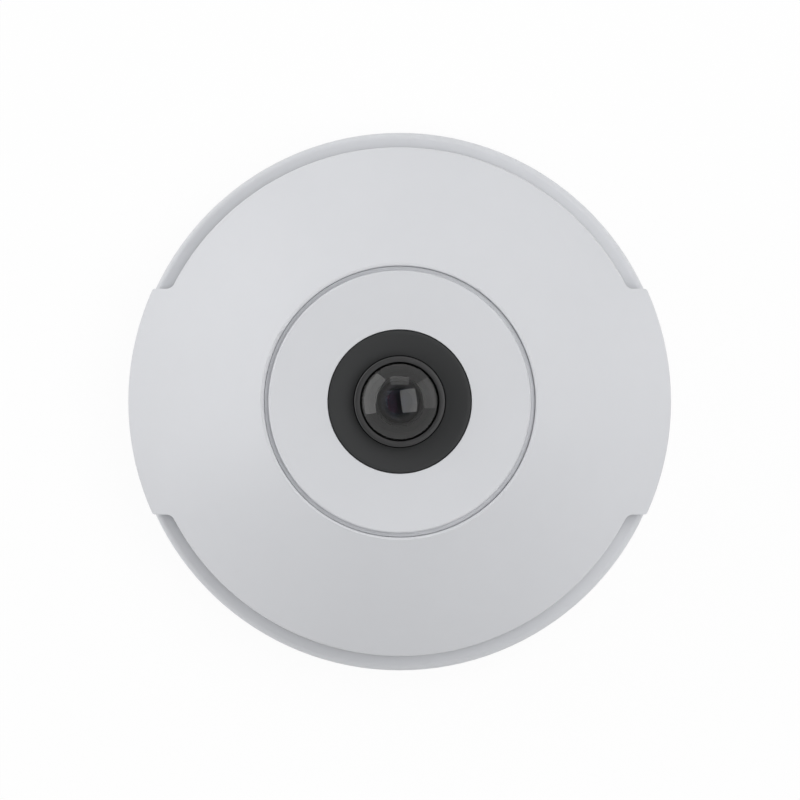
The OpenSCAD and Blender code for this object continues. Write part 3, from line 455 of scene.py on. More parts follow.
FINISHES: dict[str, Finish] = {finish.name: finish for finish in (
    Moulded("cover_plastic", LIGHT_GREY, 0.42, gloss=0.35),
    Moulded("housing_plastic", (0.656, 0.666, 0.690), 0.45, gloss=0.35),
    Moulded("disc_plastic", (0.645, 0.654, 0.679), 0.40, gloss=0.35),
    Moulded("mounting_plate", (0.055, 0.058, 0.062), 0.55, grain=0.45, depth=0.012),
    Moulded("bezel_plastic", (0.032, 0.033, 0.034), 0.55, grain=0.2, gloss=0.25),
    Moulded("turret_plastic", (0.035, 0.036, 0.038), 0.5, grain=0.4),
    Moulded("holder_plastic", (0.018, 0.018, 0.019), 0.5, grain=0.25),
    Moulded("jack_plastic", (0.022, 0.022, 0.024), 0.38, grain=0.25),
    Moulded("connector_plastic", (0.72, 0.68, 0.58), 0.45, grain=0.2),
    Moulded("switch_plastic", (0.025, 0.025, 0.027), 0.4, grain=0.2),
    Moulded("button_plastic", (0.62, 0.62, 0.58), 0.35, grain=0.2),
    Moulded("card_plastic", (0.024, 0.025, 0.028), 0.45, grain=0.15, depth=0.004),
    Moulded("grommet_rubber", (0.014, 0.014, 0.014), 0.75, grain=0.5, depth=0.015, gloss=0.3),
    Moulded("seal_rubber", (0.012, 0.012, 0.012), 0.7, grain=0.3, gloss=0.3),
    Moulded("thermal_pad", (0.30, 0.33, 0.42), 0.8, grain=0.35, depth=0.02, gloss=0.3),
    Moulded("ferrite", (0.045, 0.044, 0.046), 0.6, grain=0.18, depth=0.012, mottle=0.2),
    Moulded("chip_package", (0.020, 0.020, 0.021), 0.55, grain=0.12, depth=0.004),
    SolderMask("circuit_board", (0.012, 0.115, 0.052), 0.28),
    Film("flex_film", (0.42, 0.17, 0.03), 0.3),
    Metal("contact_gold", (0.83, 0.60, 0.26), 0.24, Working.DRAWN, tarnish=0.05),
    Metal("heat_sink", (0.60, 0.61, 0.62), 0.38, Working.DRAWN, marks=0.12, depth=0.006),
    Metal("capacitor_can", (0.72, 0.73, 0.74), 0.28, Working.BLASTED),
    Metal("sheet_steel", (0.62, 0.61, 0.58), 0.3),
    Metal("spring_steel", (0.55, 0.55, 0.54), 0.26),
    Metal("screw_steel", (0.48, 0.48, 0.49), 0.32, Working.BLASTED, marks=0.2),
    Metal("lens_metal", (0.022, 0.022, 0.023), 0.4, Working.TURNED, metallic=0.0, tarnish=0.15),
    Glass("lens_glass", CLEAR, 0.0, coating=0.4),
    Glass("filter_glass", (0.42, 0.62, 0.66), 0.0, coating_tint=(0.14, 0.03, 0.06)),
    Glass("sensor_glass", (0.62, 0.66, 0.70), 0.0, coating_tint=(0.05, 0.08, 0.12)),
    Glass("light_lens", (0.75, 0.95, 0.80), 0.2, clear=0.7),
)}

COATED_GLASS = Glass("coated_glass", CLEAR, 0.0, coating=0.1, coating_tint=(0.025, 0.035, 0.06))
INK = Moulded("lens_ink", (0.006, 0.006, 0.006), 0.6, grain=0.1, depth=0.001, gloss=0.0)
TIN = Metal("tinned_copper", (0.70, 0.70, 0.68), 0.3, Working.BLASTED, marks=0.1)
CERAMIC = Moulded("ceramic_body", (0.30, 0.20, 0.11), 0.5, grain=0.1, depth=0.003, mottle=0.12)
WINDING_TAPE = Moulded("winding_tape", (0.62, 0.40, 0.05), 0.3, grain=0.6, depth=0.004)


# Shapes


def box_of(node: str) -> tuple[Vector, Vector]:
    """The lowest and highest corners of a CAD node in millimetres."""
    low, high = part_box(node)
    return low / MM, high / MM


def travel(joint: str) -> Vector:
    """How far a sliding joint takes its pieces at its limit, in millimetres."""
    slide = next(j for j in frame["joints"] if j["name"] == joint)
    return Vector(slide["axis"]) * slide["range_m"][1] / MM


def spot(radius: float, turn: float, height: float) -> Matrix:
    """Place at a radius, an angle in degrees and a height, turned to face outwards."""
    return Matrix.Rotation(math.radians(turn), 4, "Z") @ Matrix.Translation((radius, 0.0, height))


def in_row(count: int, pitch: float) -> list[float]:
    """Places of like things in a row about zero."""
    return [(number - (count - 1) / 2) * pitch for number in range(count)]


def ball_height(ball: float, reach: float) -> float:
    """Height over a ball's middle at which its surface is a distance from its axis."""
    return math.sqrt(ball ** 2 - reach ** 2)


class Form:
    """A shape in millimetres on its way to becoming a piece."""

    def __init__(self) -> None:
        """Starts empty."""
        self.bm = bmesh.new()

    def close_up(self) -> "Form":
        """Merges points that lie on each other and turns every face outwards.

        Returns:
            The form.
        """
        bmesh.ops.remove_doubles(self.bm, verts=self.bm.verts, dist=MERGE)
        bmesh.ops.recalc_face_normals(self.bm, faces=self.bm.faces)
        return self

    def zone(self, number: int, holds: Callable[[Vector], bool] = lambda at: True) -> "Form":
        """Gives faces another of the piece's finishes.

        Args:
            number: The finish's place in the piece's list.
            holds: The test that a face's middle has to pass, in millimetres.

        Returns:
            The form.
        """
        for face in self.bm.faces:
            if holds(face.calc_center_median()):
                face.material_index = number
        return self

    def split(self, point: Size, across: Size) -> None:
        """Cuts the faces along a plane through a point, without parting them."""
        parts = [*self.bm.verts, *self.bm.edges, *self.bm.faces]
        bmesh.ops.bisect_plane(self.bm, geom=parts, plane_co=point, plane_no=across)

    def bevel(self, parts: list, width: float, segments: int = 1, affect: str = "EDGES",
              clamp: bool = False) -> None:
        """Cuts back or rounds some edges, or some corners of a section."""
        bmesh.ops.bevel(self.bm, geom=parts, offset=width, segments=segments, profile=0.5,
                        affect=affect, material=-1, clamp_overlap=clamp)

    def soften(self, width: float, segments: int = 1) -> "Form":
        """Rounds every sharp edge.

        Args:
            width: How far the rounding reaches on each side.
            segments: Steps in each rounded edge.

        Returns:
            The form.
        """
        sharp = [edge for edge in self.bm.edges if edge.calc_face_angle(0.0) > CORNER]
        self.bevel(sharp, width, segments, clamp=True)
        return self

    def add(self, other: "Form", *places: Matrix) -> "Form":
        """Takes in copies of another form.

        Args:
            other: The form to copy, which is used up.
            places: Where each copy goes; one copy as it lies if none is given.

        Returns:
            This form.
        """
        loose = bpy.data.meshes.new("loose")
        other.bm.to_mesh(loose)
        other.bm.free()
        for place in places or (Matrix.Identity(4),):
            known = len(self.bm.verts)
            self.bm.from_mesh(loose)
            self.bm.verts.ensure_lookup_table()
            bmesh.ops.transform(self.bm, matrix=place, verts=self.bm.verts[known:])
        bpy.data.meshes.remove(loose)
        return self

    def piece(self, name: str, *finishes: Finish, replaces: str = "", slot: str = "",
              body: str = "camera_body", even: bool = True) -> None:
        """Makes the form a piece of the camera.

        Args:
            name: The piece's name.
            finishes: Its finishes, one material slot each, in order.
            replaces: The CAD node that it stands for.
            slot: The slot's name where it is another; not used.
            body: The CAD body that it moves with.
            even: Whether flat faces keep flat shading beside rounded edges.
        """
        bmesh.ops.scale(self.bm, vec=(MM,) * 3, verts=self.bm.verts)
        for face in self.bm.faces:
            face.smooth = True
        for edge in self.bm.edges:
            edge.smooth = edge.calc_face_angle(0.0) < CREASE
        mesh = bpy.data.meshes.new(name)
        self.bm.to_mesh(mesh)
        self.bm.free()
        for finish in finishes:
            mesh.materials.append(finish.material())
        made = bpy.data.objects.new(name, mesh)
        bpy.context.collection.objects.link(made)
        if even:
            made.modifiers.new("even_faces", "WEIGHTED_NORMAL").keep_sharp = True
        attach(made, body)
        if replaces:
            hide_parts(replaces)
        log.info("%s: %d faces, rides on %s", name, len(mesh.polygons), body)


class Outline:
    """A section drawn point by point in the plane of radius and height."""

    corner_steps = 4

    def __init__(self, radius: float, height: float) -> None:
        """Starts at a point. A section that starts on the axis also ends on it.

        Args:
            radius: The point's radius.
            height: Its height.
        """
        self.form = Form()
        self.corners: dict[float, list[bmesh.types.BMVert]] = {}
        self.first = self.tip = self.form.bm.verts.new((radius, 0.0, height))

    def to(self, *points: tuple[float, ...]) -> "Outline":
        """Draws straight lines from point to point.

        Args:
            points: Each one's radius and height, and how far its corner is rounded if it is.

        Returns:
            The outline.
        """
        for radius, height, *rounding in points:
            end = self.form.bm.verts.new((radius, 0.0, height))
            self.form.bm.edges.new((self.tip, end))
            self.tip = end
            for reach in rounding:
                self.corners.setdefault(reach, []).append(end)
        return self

    def arc(self, centre: float, radius: float, height: float, steps: int) -> "Outline":
        """Draws an arc round a point on the axis.

        Args:
            centre: Height of that point.
            radius: Radius of the arc's end.
            height: Height of its end.
            steps: Straight steps along it.

        Returns:
            The outline.
        """
        middle = Vector((0.0, 0.0, centre))
        start, end = self.tip.co - middle, Vector((radius, 0.0, height)) - middle
        swing = math.atan2(start.z * end.x - start.x * end.z, start.x * end.x + start.z * end.z)
        made = bmesh.ops.spin(self.form.bm, geom=[self.tip], cent=middle, axis=(0.0, 1.0, 0.0),
                              angle=swing, steps=steps)
        self.tip = next(v for v in made["geom_last"] if isinstance(v, bmesh.types.BMVert))
        return self

    def turned(self, steps: int, span: float = FULL_TURN, rise: float = 0.0) -> Form:
        """Closes the section and turns it about the lens axis.

        Args:
            steps: Steps of a whole turn.
            span: The angle that it is turned through.
            rise: Height gained in a whole turn, as on a thread.

        Returns:
            The solid.
        """
        bm = self.form.bm
        if self.first.co.x:
            bm.edges.new((self.tip, self.first))
        for rounding, corners in self.corners.items():
            self.form.bevel(corners, rounding, self.corner_steps, "VERTICES")
        whole = span == FULL_TURN and not rise
        section = list(bm.edges)
        ends = [] if whole else bmesh.ops.contextual_create(bm, geom=section)["faces"]
        bmesh.ops.spin(
            bm, geom=list(bm.verts) + section + ends, cent=(0.0, 0.0, 0.0), axis=(0.0, 0.0, 1.0),
            dvec=(0.0, 0.0, rise / steps), angle=span, steps=round(steps * span / FULL_TURN),
            use_merge=whole,
        )
        return self.form.close_up()


def block(size: Size, at: Size = (0.0, 0.0, 0.0), rounding: float = 0.0, segments: int = 2) -> Form:
    """A box that stands on a point.

    Args:
        size: Width, depth and height.
        at: The middle of its foot.
        rounding: Radius of its edges.
        segments: Steps in each rounded edge.

    Returns:
        The box.
    """
    form = Form()
    bmesh.ops.create_cube(form.bm, size=1.0)
    bmesh.ops.scale(form.bm, vec=size, verts=form.bm.verts)
    bmesh.ops.translate(form.bm, vec=(at[0], at[1], at[2] + size[2] / 2), verts=form.bm.verts)
    return form.soften(rounding, segments) if rounding else form


def thread(root: float, crest: Point, pitch: float, half: float, turns: float, steps: int) -> Form:
    """The ridge of a screw thread about the lens axis.

    Args:
        root: Radius of its foot, which is sunk in the core.
        crest: Radius and height at which its crest starts.
        pitch: Height gained in a turn.
        half: Half the height of its foot.
        turns: Its number of turns.
        steps: Steps of a turn.

    Returns:
        The ridge.
    """
    height = crest[1]
    section = Outline(root, height - half).to(crest, (root, height + half))
    return section.turned(steps, turns * FULL_TURN, pitch)


# Sub-assemblies


@dataclass
class LensStack:
    """Three glasses in the lens barrel, and the ring that holds the front one."""

    glass_edge: float = 1.35
    glass_play: float = 0.05
    hollow_ball: float = 4.9
    hollow_drop: float = 0.45
    front_opening: float = 4.25
    front_steps: int = 40
    inked_steps: int = 8
    middle_ball: float = 7.0
    middle_face: float = 5.1
    middle_opening: float = 3.6
    inner_steps: int = 28
    rear_ball: float = 9.0
    rear_steps: int = 20
    thread_radius: float = 6.0
    thread_pitch: float = 0.5
    thread_depth: float = 0.28
    thread_half: float = 0.21
    thread_sink: float = 0.05
    thread_steps: int = 72
    foot_rounding: float = 0.2
    head_gap: float = 0.3
    head_roundings: Point = (0.35, 0.08)
    front_seat: float = 1.7
    middle_seat: float = 2.4
    stop_opening: float = 2.4
    stop_height: float = 0.5
    stop_flare: float = 0.1
    rear_bore: float = 4.4
    rear_lip: float = 2.6
    rear_lip_height: float = 0.6
    ring_play: float = 0.1
    ring_lap: float = 0.45
    ring_chamfer: float = 0.3
    ring_rounding: float = 0.06

    def build(self) -> None:
        """Makes the stack from the front glass back."""
        self.front_glass()
        self.flat_glass("middle_glass", self.middle_ball, self.middle_face, self.middle_opening,
                        self.inner_steps)
        rear = box_of("rear_glass")[1].x
        self.flat_glass("rear_glass", self.rear_ball, rear, rear, self.rear_steps)
        self.barrel()
        self.retaining_ring()

    def _finish(self, name: str, form: Form, finish: Finish) -> None:
        """Finishes one glass: its face, its inked edge and its coated back."""
        form.piece(f"{name}_element", finish, INK, COATED_GLASS, replaces=name, slot="lens_glass",
                   even=False)

    def front_glass(self) -> None:
        """Domed meniscus with a hollow back."""
        low, high = box_of("front_glass")
        shoulder = low.z + self.glass_edge
        sag = high.z - shoulder
        ball = (high.x ** 2 + sag ** 2) / (2 * sag)
        hollow = low.z - self.hollow_drop
        rim = ball_height(self.hollow_ball, self.hollow_drop)
        opening = hollow + ball_height(self.hollow_ball, self.front_opening)
        form = (
            Outline(0.0, high.z)
            .arc(high.z - ball, high.x, shoulder, self.front_steps)
            .to((high.x, low.z), (rim, low.z))
            .arc(hollow, self.front_opening, opening, self.inked_steps)
            .arc(hollow, 0.0, hollow + self.hollow_ball, self.inner_steps)
            .turned(FINE)
        )
        form.zone(1, lambda at: at.z < opening and (
            at.z < low.z + NEAR or at.xy.length < rim or at.z < shoulder and at.xy.length > high.x - NEAR))
        form.zone(2, lambda at: opening < at.z < hollow + self.hollow_ball + NEAR
                  and at.xy.length < self.front_opening)
        self._finish("front_glass", form, FINISHES["lens_glass"])

    def flat_glass(self, name: str, ball: float, face: float, opening: float, steps: int) -> None:
        """Makes a glass with a domed face and a flat back.

        Args:
            name: The CAD node that it stands for.
            ball: Radius of the ball that the face is part of.
            face: How far the face reaches from the axis.
            opening: Radius of what the ink leaves free on its back.
            steps: Steps from the middle of the face to its edge.
        """
        low, high = box_of(name)
        foot = high.z - ball + ball_height(ball, face)
        form = (
            Outline(0.0, high.z)
            .arc(high.z - ball, face, foot, steps)
            .to((high.x, foot), (high.x, low.z), (opening, low.z), (0.0, low.z))
            .turned(FINE)
        )
        form.zone(1, lambda at: at.xy.length > face - NEAR or at.z < low.z + NEAR and at.xy.length > opening)
        self._finish(name, form, COATED_GLASS)

    def barrel(self) -> None:
        """Blackened barrel with its inked seats, its head, and a thread below the head."""
        low, high = box_of("lens_barrel")
        head_foot = box_of("lens_lock_ring")[1].z + self.head_gap
        front_seat = high.z - self.front_seat
        middle_seat = front_seat - self.middle_seat
        stop_back = middle_seat - self.stop_height
        lip_top = low.z + self.rear_lip_height
        front_bore = box_of("front_glass")[1].x + self.glass_play
        middle_bore = box_of("middle_glass")[1].x + self.glass_play
        core = self.thread_radius - self.thread_depth
        form = Outline(self.rear_lip, low.z).to(
            (core, low.z, self.foot_rounding), (core, head_foot),
            (high.x, head_foot, self.head_roundings[0]), (high.x, high.z, self.head_roundings[1]),
            (front_bore, high.z), (front_bore, front_seat),
            (middle_bore, front_seat), (middle_bore, middle_seat), (self.stop_opening, middle_seat),
            (self.stop_opening + self.stop_flare, stop_back), (self.rear_bore, stop_back),
            (self.rear_bore, lip_top), (self.rear_lip, lip_top),
        ).turned(FINE)
        form.zone(1, lambda at: at.xy.length < self.rear_bore + NEAR
                  or at.z > stop_back - NEAR and at.xy.length < front_bore + NEAR)
        crest = (self.thread_radius, low.z + self.thread_pitch)
        turns = (head_foot - low.z) / self.thread_pitch - 2
        form.add(thread(core - self.thread_sink, crest, self.thread_pitch, self.thread_half, turns,
                        self.thread_steps))
        form.piece("lens_barrel_threaded", FINISHES["lens_metal"], INK, replaces="lens_barrel")

    def retaining_ring(self) -> None:
        """Thin ring with a bevelled lip over the front glass's edge."""
        low, high = box_of("lens_retaining_ring")
        glass = box_of("front_glass")[1].x
        lip = glass - self.ring_lap
        form = Outline(glass + self.ring_play, low.z).to(
            (high.x, low.z), (high.x, high.z, self.ring_chamfer), (lip, high.z, self.ring_rounding),
            (lip, (low.z + high.z) / 2),
        ).turned(FINE)
        form.piece("lens_retaining_ring_bevelled", FINISHES["lens_metal"], replaces="lens_retaining_ring")


@dataclass
class CentreGroup:
    """Centre plate and the black bezel in its hole."""

    plate_thickness: float = 1.4
    plate_rounding: float = 0.4
    hole_play: float = 0.15
    hole_rounding: float = 0.12
    ledge_drop: float = 1.35
    ledge_thickness: float = 0.6
    ledge_width: float = 0.6
    ledge_lap: float = 0.14
    ledge_rounding: float = 0.1
    foot_rounding: float = 0.2
    skirt_outer: float = 21.35
    skirt_wall: float = 1.4
    lug_turns: tuple[float, ...] = (0.0, 120.0, 240.0)
    lug_width: float = 5.0
    lug_height: float = 1.2
    lug_foot: float = 0.35
    lug_reach: float = 1.05
    lug_sink: float = 0.4
    bezel_radius: float = 13.2
    bezel_rim: float = 0.7
    bezel_dish: float = 0.5
    bezel_bore: float = 9.0
    bezel_wall: float = 1.0
    bezel_foot_gap: float = 0.3
    lip_bore: float = 8.55
    lip_thickness: float = 0.12
    lip_roundings: Point = (0.04, 0.06)
    rim_roundings: Point = (0.1, 0.18)
    flange_height: float = 1.3
    flange_rounding: float = 0.15

    def build(self) -> None:
        """Makes the plate and the bezel."""
        self.plate()
        self.bezel()

    def plate(self) -> None:
        """Flat disc with a rounded edge, a ledge round it, a skirt under it and three lugs."""
        low, high = box_of("centre_plate")
        underside = high.z - self.plate_thickness
        disc, edge = high.x - self.ledge_width, high.x + self.ledge_lap
        under = disc - self.ledge_width
        ledge = high.z - self.ledge_drop
        ledge_foot = ledge - self.ledge_thickness
        hole = self.bezel_radius + self.hole_play
        outer, inner = self.skirt_outer, self.skirt_outer - self.skirt_wall
        small = self.ledge_rounding
        form = Outline(hole, underside).to(
            (hole, high.z, self.hole_rounding), (disc, high.z, self.plate_rounding),
            (disc, ledge, self.foot_rounding), (edge, ledge, small), (edge, ledge_foot, small),
            (under, ledge_foot, small), (under, underside, small),
            (outer, underside), (outer, low.z), (inner, low.z, self.foot_rounding), (inner, underside),
        ).turned(FINE)
        half = math.asin(self.lug_width / 2 / outer)
        lug_top = low.z + self.lug_height
        for turn in self.lug_turns:
            lug = Outline(outer - self.lug_sink, low.z).to(
                (outer + self.lug_foot, low.z), (outer + self.lug_reach, lug_top, self.flange_rounding),
                (outer - self.lug_sink, lug_top),
            ).turned(FINE, 2 * half)
            form.add(lug, Matrix.Rotation(math.radians(turn) - half, 4, "Z"))
        form.piece("centre_plate_stepped", FINISHES["disc_plastic"], replaces="centre_plate")

    def bezel(self) -> None:
        """Dished ring with a tube round the lens head and a flange behind the plate."""
        low, high = box_of("lens_bezel")
        face = high.z - self.bezel_dish
        lip = face - self.lip_thickness
        foot = low.z + self.bezel_foot_gap
        flange = low.z + self.flange_height
        rim = self.bezel_radius - self.bezel_rim
        tube = self.bezel_bore + self.bezel_wall
        form = Outline(self.bezel_bore, foot).to(
            (self.bezel_bore, lip), (self.lip_bore, lip, self.lip_roundings[0]),
            (self.lip_bore, face, self.lip_roundings[1]), (rim, high.z, self.rim_roundings[0]),
            (self.bezel_radius, high.z, self.rim_roundings[1]), (self.bezel_radius, flange),
            (high.x, flange, self.flange_rounding), (high.x, low.z, self.flange_rounding), (rim, low.z),
            (rim, high.z - self.bezel_wall), (tube, face - self.bezel_wall), (tube, foot),
        ).turned(FINE)
        form.piece("lens_bezel_dished", FINISHES["bezel_plastic"], replaces="lens_bezel")


@dataclass(frozen=True)
class Screw:
    """Pan-head screw with a cross recess. Its head stands on height zero."""

    shank_radius: float
    length: float
    head_radius: float
    head_height: float
    pitch: float = 0.5
    cells: int = 9
    arm_cells: int = 5
    wall_lean: float = 0.06
    recess_share: float = 0.6
    crown: float = 0.45
    crown_power: int = 4
    thread_share: float = 0.3
    thread_half: float = 0.4
    thread_sink: float = 0.03
    thread_steps: int = 24
    point_share: float = 0.6
    point_radius: float = 0.4

    def form(self) -> Form:
        """Head from a grid drawn to a disc, then the shank and its thread.

        Returns:
            The screw.
        """
        form = Form()
        bm = form.bm
        bmesh.ops.create_grid(bm, x_segments=self.cells, y_segments=self.cells, size=self.head_radius)
        cell = 2 * self.head_radius / self.cells
        arm = cell * self.arm_cells / 2
        recess = [
            face for face in bm.faces
            if min(abs(v) for v in face.calc_center_median().xy) < cell / 2
            and max(abs(v) for v in face.calc_center_median().xy) < arm
        ]
        bmesh.ops.inset_region(bm, faces=recess, thickness=self.wall_lean,
                               depth=-self.head_height * self.recess_share)
        rim = [edge for edge in bm.edges if edge.is_boundary]
        for vert in bm.verts:
            flat = vert.co.to_2d()
            if flat.length:
                flat *= max(abs(flat.x), abs(flat.y)) / flat.length
            fall = self.crown * (flat.length / self.head_radius) ** self.crown_power
            vert.co = (*flat, vert.co.z + self.head_height * (1 - fall))
        core = self.shank_radius - self.pitch * self.thread_share
        point = core * self.point_share - self.length
        for radius, height in ((self.head_radius, 0.0), (core, 0.0), (core, point),
                               (core * self.point_radius, -self.length)):
            made = bmesh.ops.extrude_edge_only(bm, edges=rim)["geom"]
            rim = [part for part in made if isinstance(part, bmesh.types.BMEdge)]
            for vert in (part for part in made if isinstance(part, bmesh.types.BMVert)):
                vert.co = (*(vert.co.to_2d().normalized() * radius), height)
        bmesh.ops.contextual_create(bm, geom=rim)
        crest = (self.shank_radius, point + self.pitch)
        turns = (self.length - core) / self.pitch - 1
        return form.close_up().add(thread(core - self.thread_sink, crest, self.pitch,
                                          self.pitch * self.thread_half, turns, self.thread_steps))


@dataclass
class Fasteners:
    """Screws of both boards, the turret and the lens holder."""

    large: Screw = Screw(1.2, 4.8, 2.3, 1.5)
    long: Screw = Screw(1.2, 6.8, 2.3, 1.5)
    small: Screw = Screw(0.9, 2.8, 1.75, 1.0, pitch=0.4)
    board_turns: tuple[float, ...] = (30.0, 100.0, 215.0, 340.0)
    board_radius: float = 37.0
    board_keep: float = 3.4
    leg_turns: tuple[float, ...] = (90.0, 210.0, 330.0)
    leg_radius: float = 28.0
    leg_foot: float = 2.0
    leg_middle: float = 27.0
    leg_keep: float = 4.8
    post_turns: tuple[float, ...] = (45.0, 135.0, 225.0, 315.0)
    ear_turns: tuple[float, ...] = (0.0, 180.0)

    def build(self) -> None:
        """Makes each set as one piece."""
        board_top = box_of("main_board")[1].z
        sensor_low, sensor_high = box_of("sensor_board")
        post = box_of("sensor_screws")[1].xy.length - self.small.head_radius * math.sqrt(2)
        ear = box_of("holder_screws")[1].x - self.small.head_radius
        leg_top = board_top + self.leg_foot
        upright, over = Matrix.Identity(4), Matrix.Rotation(math.pi, 4, "X")
        for name, screw, radius, turns, height, way in (
            ("board_screws", self.large, self.board_radius, self.board_turns, board_top, upright),
            ("turret_screws", self.long, self.leg_radius, self.leg_turns, leg_top, upright),
            ("sensor_screws", self.small, post, self.post_turns, sensor_high.z, upright),
            ("holder_screws", self.small, ear, self.ear_turns, sensor_low.z, over),
        ):
            form = Form().add(screw.form(), *(spot(radius, turn, height) @ way for turn in turns))
            form.piece(f"{name}_threaded", FINISHES["screw_steel"], replaces=name)

    def circles(self) -> list[tuple[Vector, float]]:
        """Middles and radii of what the main board keeps free for screw heads and the turret's feet."""
        sets = ((self.board_radius, self.board_turns, self.board_keep),
                (self.leg_middle, self.leg_turns, self.leg_keep))
        return [(spot(at, t, 0.0).translation.xy, keep) for at, turns, keep in sets for t in turns]


@dataclass(frozen=True)
class Package:
    """A small soldered part: its body, and tinned caps or leads at its ends."""

    name: str
    size: Size
    finish: Finish
    cap: float = 0.0
    leads: int = 0
    lead_pitch: float = 0.95
    share: int = 1
    row: int = 1
    edge_share: float = 0.06
    lead_out: float = 0.45
    lead_share: float = 0.42
    lead_thickness: float = 0.14
    lead_lift: float = 0.08
    lead_sink: float = 0.05
    knee_out: float = 0.04

    @property
    def lead_reach(self) -> float:
        """How far the leads stand out on each side."""
        return self.lead_out if self.leads else 0.0

    @property
    def footprint(self) -> Point:
        """Width and depth on the board, leads included."""
        return (self.size[0] + 2 * self.lead_reach, self.size[1])

    def form(self) -> Form:
        """Body along X with its ends tinned.

        Returns:
            The part.
        """
        width, depth, height = self.size
        lift = self.lead_lift if self.leads else 0.0
        edge = min(depth, height) * self.edge_share
        form = block((width, depth, height - lift), (0.0, 0.0, lift), edge, 1)
        if self.cap:
            inner = width / 2 - self.cap
            for side in (-1, 1):
                form.split((side * inner, 0.0, 0.0), (1.0, 0.0, 0.0))
            form.zone(1, lambda at: abs(at.x) > inner)
        broad, thick = self.lead_pitch * self.lead_share, self.lead_thickness
        for along in in_row(self.leads, self.lead_pitch):
            for side in (-1, 1):
                reach = side * (width / 2 + self.lead_reach / 2 - self.lead_sink)
                lead = block((self.lead_reach + 2 * self.lead_sink, broad, thick), (reach, along, 0.0))
                knee = block((thick, broad, height / 2), (side * (width / 2 + self.knee_out), along, 0.0))
                form.add(lead.add(knee).zone(1))
        return form


PACKAGES: tuple[Package, ...] = (
    Package("chip_resistors", (1.0, 0.5, 0.35), FINISHES["chip_package"], cap=0.22, share=9, row=6),
    Package("chip_capacitors", (1.0, 0.5, 0.5), CERAMIC, cap=0.24, share=9, row=5),
    Package("larger_capacitors", (2.0, 1.25, 1.1), CERAMIC, cap=0.4, share=4, row=3),
    Package("transistors", (1.3, 2.9, 1.0), FINISHES["chip_package"], leads=3, share=3, row=2),
    Package("small_circuits", (3.9, 4.9, 1.5), FINISHES["chip_package"], leads=4, lead_pitch=1.27, share=2),
    Package("power_inductors", (3.0, 3.0, 1.5), FINISHES["ferrite"], cap=0.5, share=2),
    Package("crystals", (3.2, 2.5, 0.8), FINISHES["sheet_steel"], share=1),
)


@dataclass
class BoardParts:
    """Small parts soldered on the main board, in short rows that keep clear of everything else."""

    circles: list[tuple[Vector, float]]
    board: str = "main_board"
    neighbours: tuple[str, ...] = (
        "board_connector", "capacitors", "card_slot", "heat_sink", "memory_chips", "network_jack",
        "power_coil", "power_transformer", "status_light", "switch_housing",
    )
    card: str = "memory_card"
    card_joint: str = "card_slide"
    notch: Point = (-20.0, -15.6)
    reach: float = 38.6
    grid: float = 0.25
    gap: float = 0.45
    tries: int = 900
    seed: int = 12
    taken: list[Area] = field(default_factory=list)

    def build(self) -> None:
        """Places the rows and makes each kind of part one piece."""
        top = box_of(self.board)[1].z
        self.taken += [self._area(node, Vector()) for node in self.neighbours]
        self.taken.append(self._area(self.card, travel(self.card_joint)))
        rng = random.Random(self.seed)
        places: dict[Package, list[Matrix]] = {kind: [] for kind in PACKAGES}
        for _ in range(self.tries):
            kind = rng.choices(PACKAGES, [kind.share for kind in PACKAGES])[0]
            count, upright = rng.randint(1, kind.row), rng.random() < 0.5
            x, y = (round(rng.uniform(-self.reach, self.reach) / self.grid) * self.grid for _ in range(2))
            wide, deep = kind.footprint
            pitch = deep + self.gap
            along, across = wide / 2, (pitch * count - self.gap) / 2
            half = (across, along) if upright else (along, across)
            if self._free((x - half[0], y - half[1], x + half[0], y + half[1])):
                turn = Matrix.Rotation(math.pi / 2 if upright else 0.0, 4, "Z")
                middle = Matrix.Translation((x, y, top)) @ turn
                for step in in_row(count, pitch):
                    places[kind].append(middle @ Matrix.Translation((0.0, step, 0.0)))
        for kind, spots in places.items():
            form = Form().add(kind.form(), *spots)
            form.piece(f"{self.board}_{kind.name}", kind.finish, TIN, slot="chip_package")

    def _area(self, node: str, way: Vector) -> Area:
        """What a node and its way cover of the board: lowest X and Y, then highest X and Y."""
        low, high = box_of(node)
        return (low.x + min(0.0, way.x), low.y + min(0.0, way.y),
                high.x + max(0.0, way.x), high.y + max(0.0, way.y))

    def _free(self, area: Area) -> bool:
        """Takes an area of the board if nothing is in it.

        Args:
            area: Lowest X and Y, then highest X and Y.

        Returns:
            Whether the area was free.
        """
        left, front, right, back = area
        corners = [Vector((x, y)) for x in (left, right) for y in (front, back)]
        outside = max(corner.length for corner in corners) > self.reach
        if outside or right > self.notch[0] and front < self.notch[1]:
            return False
        for middle, radius in self.circles:
            nearest = Vector((min(max(middle.x, left), right), min(max(middle.y, front), back)))
            if (nearest - middle).length < radius:
                return False
        for other in self.taken:
            if (left < other[2] + self.gap and right > other[0] - self.gap
                    and front < other[3] + self.gap and back > other[1] - self.gap):
                return False
        self.taken.append(area)
        return True


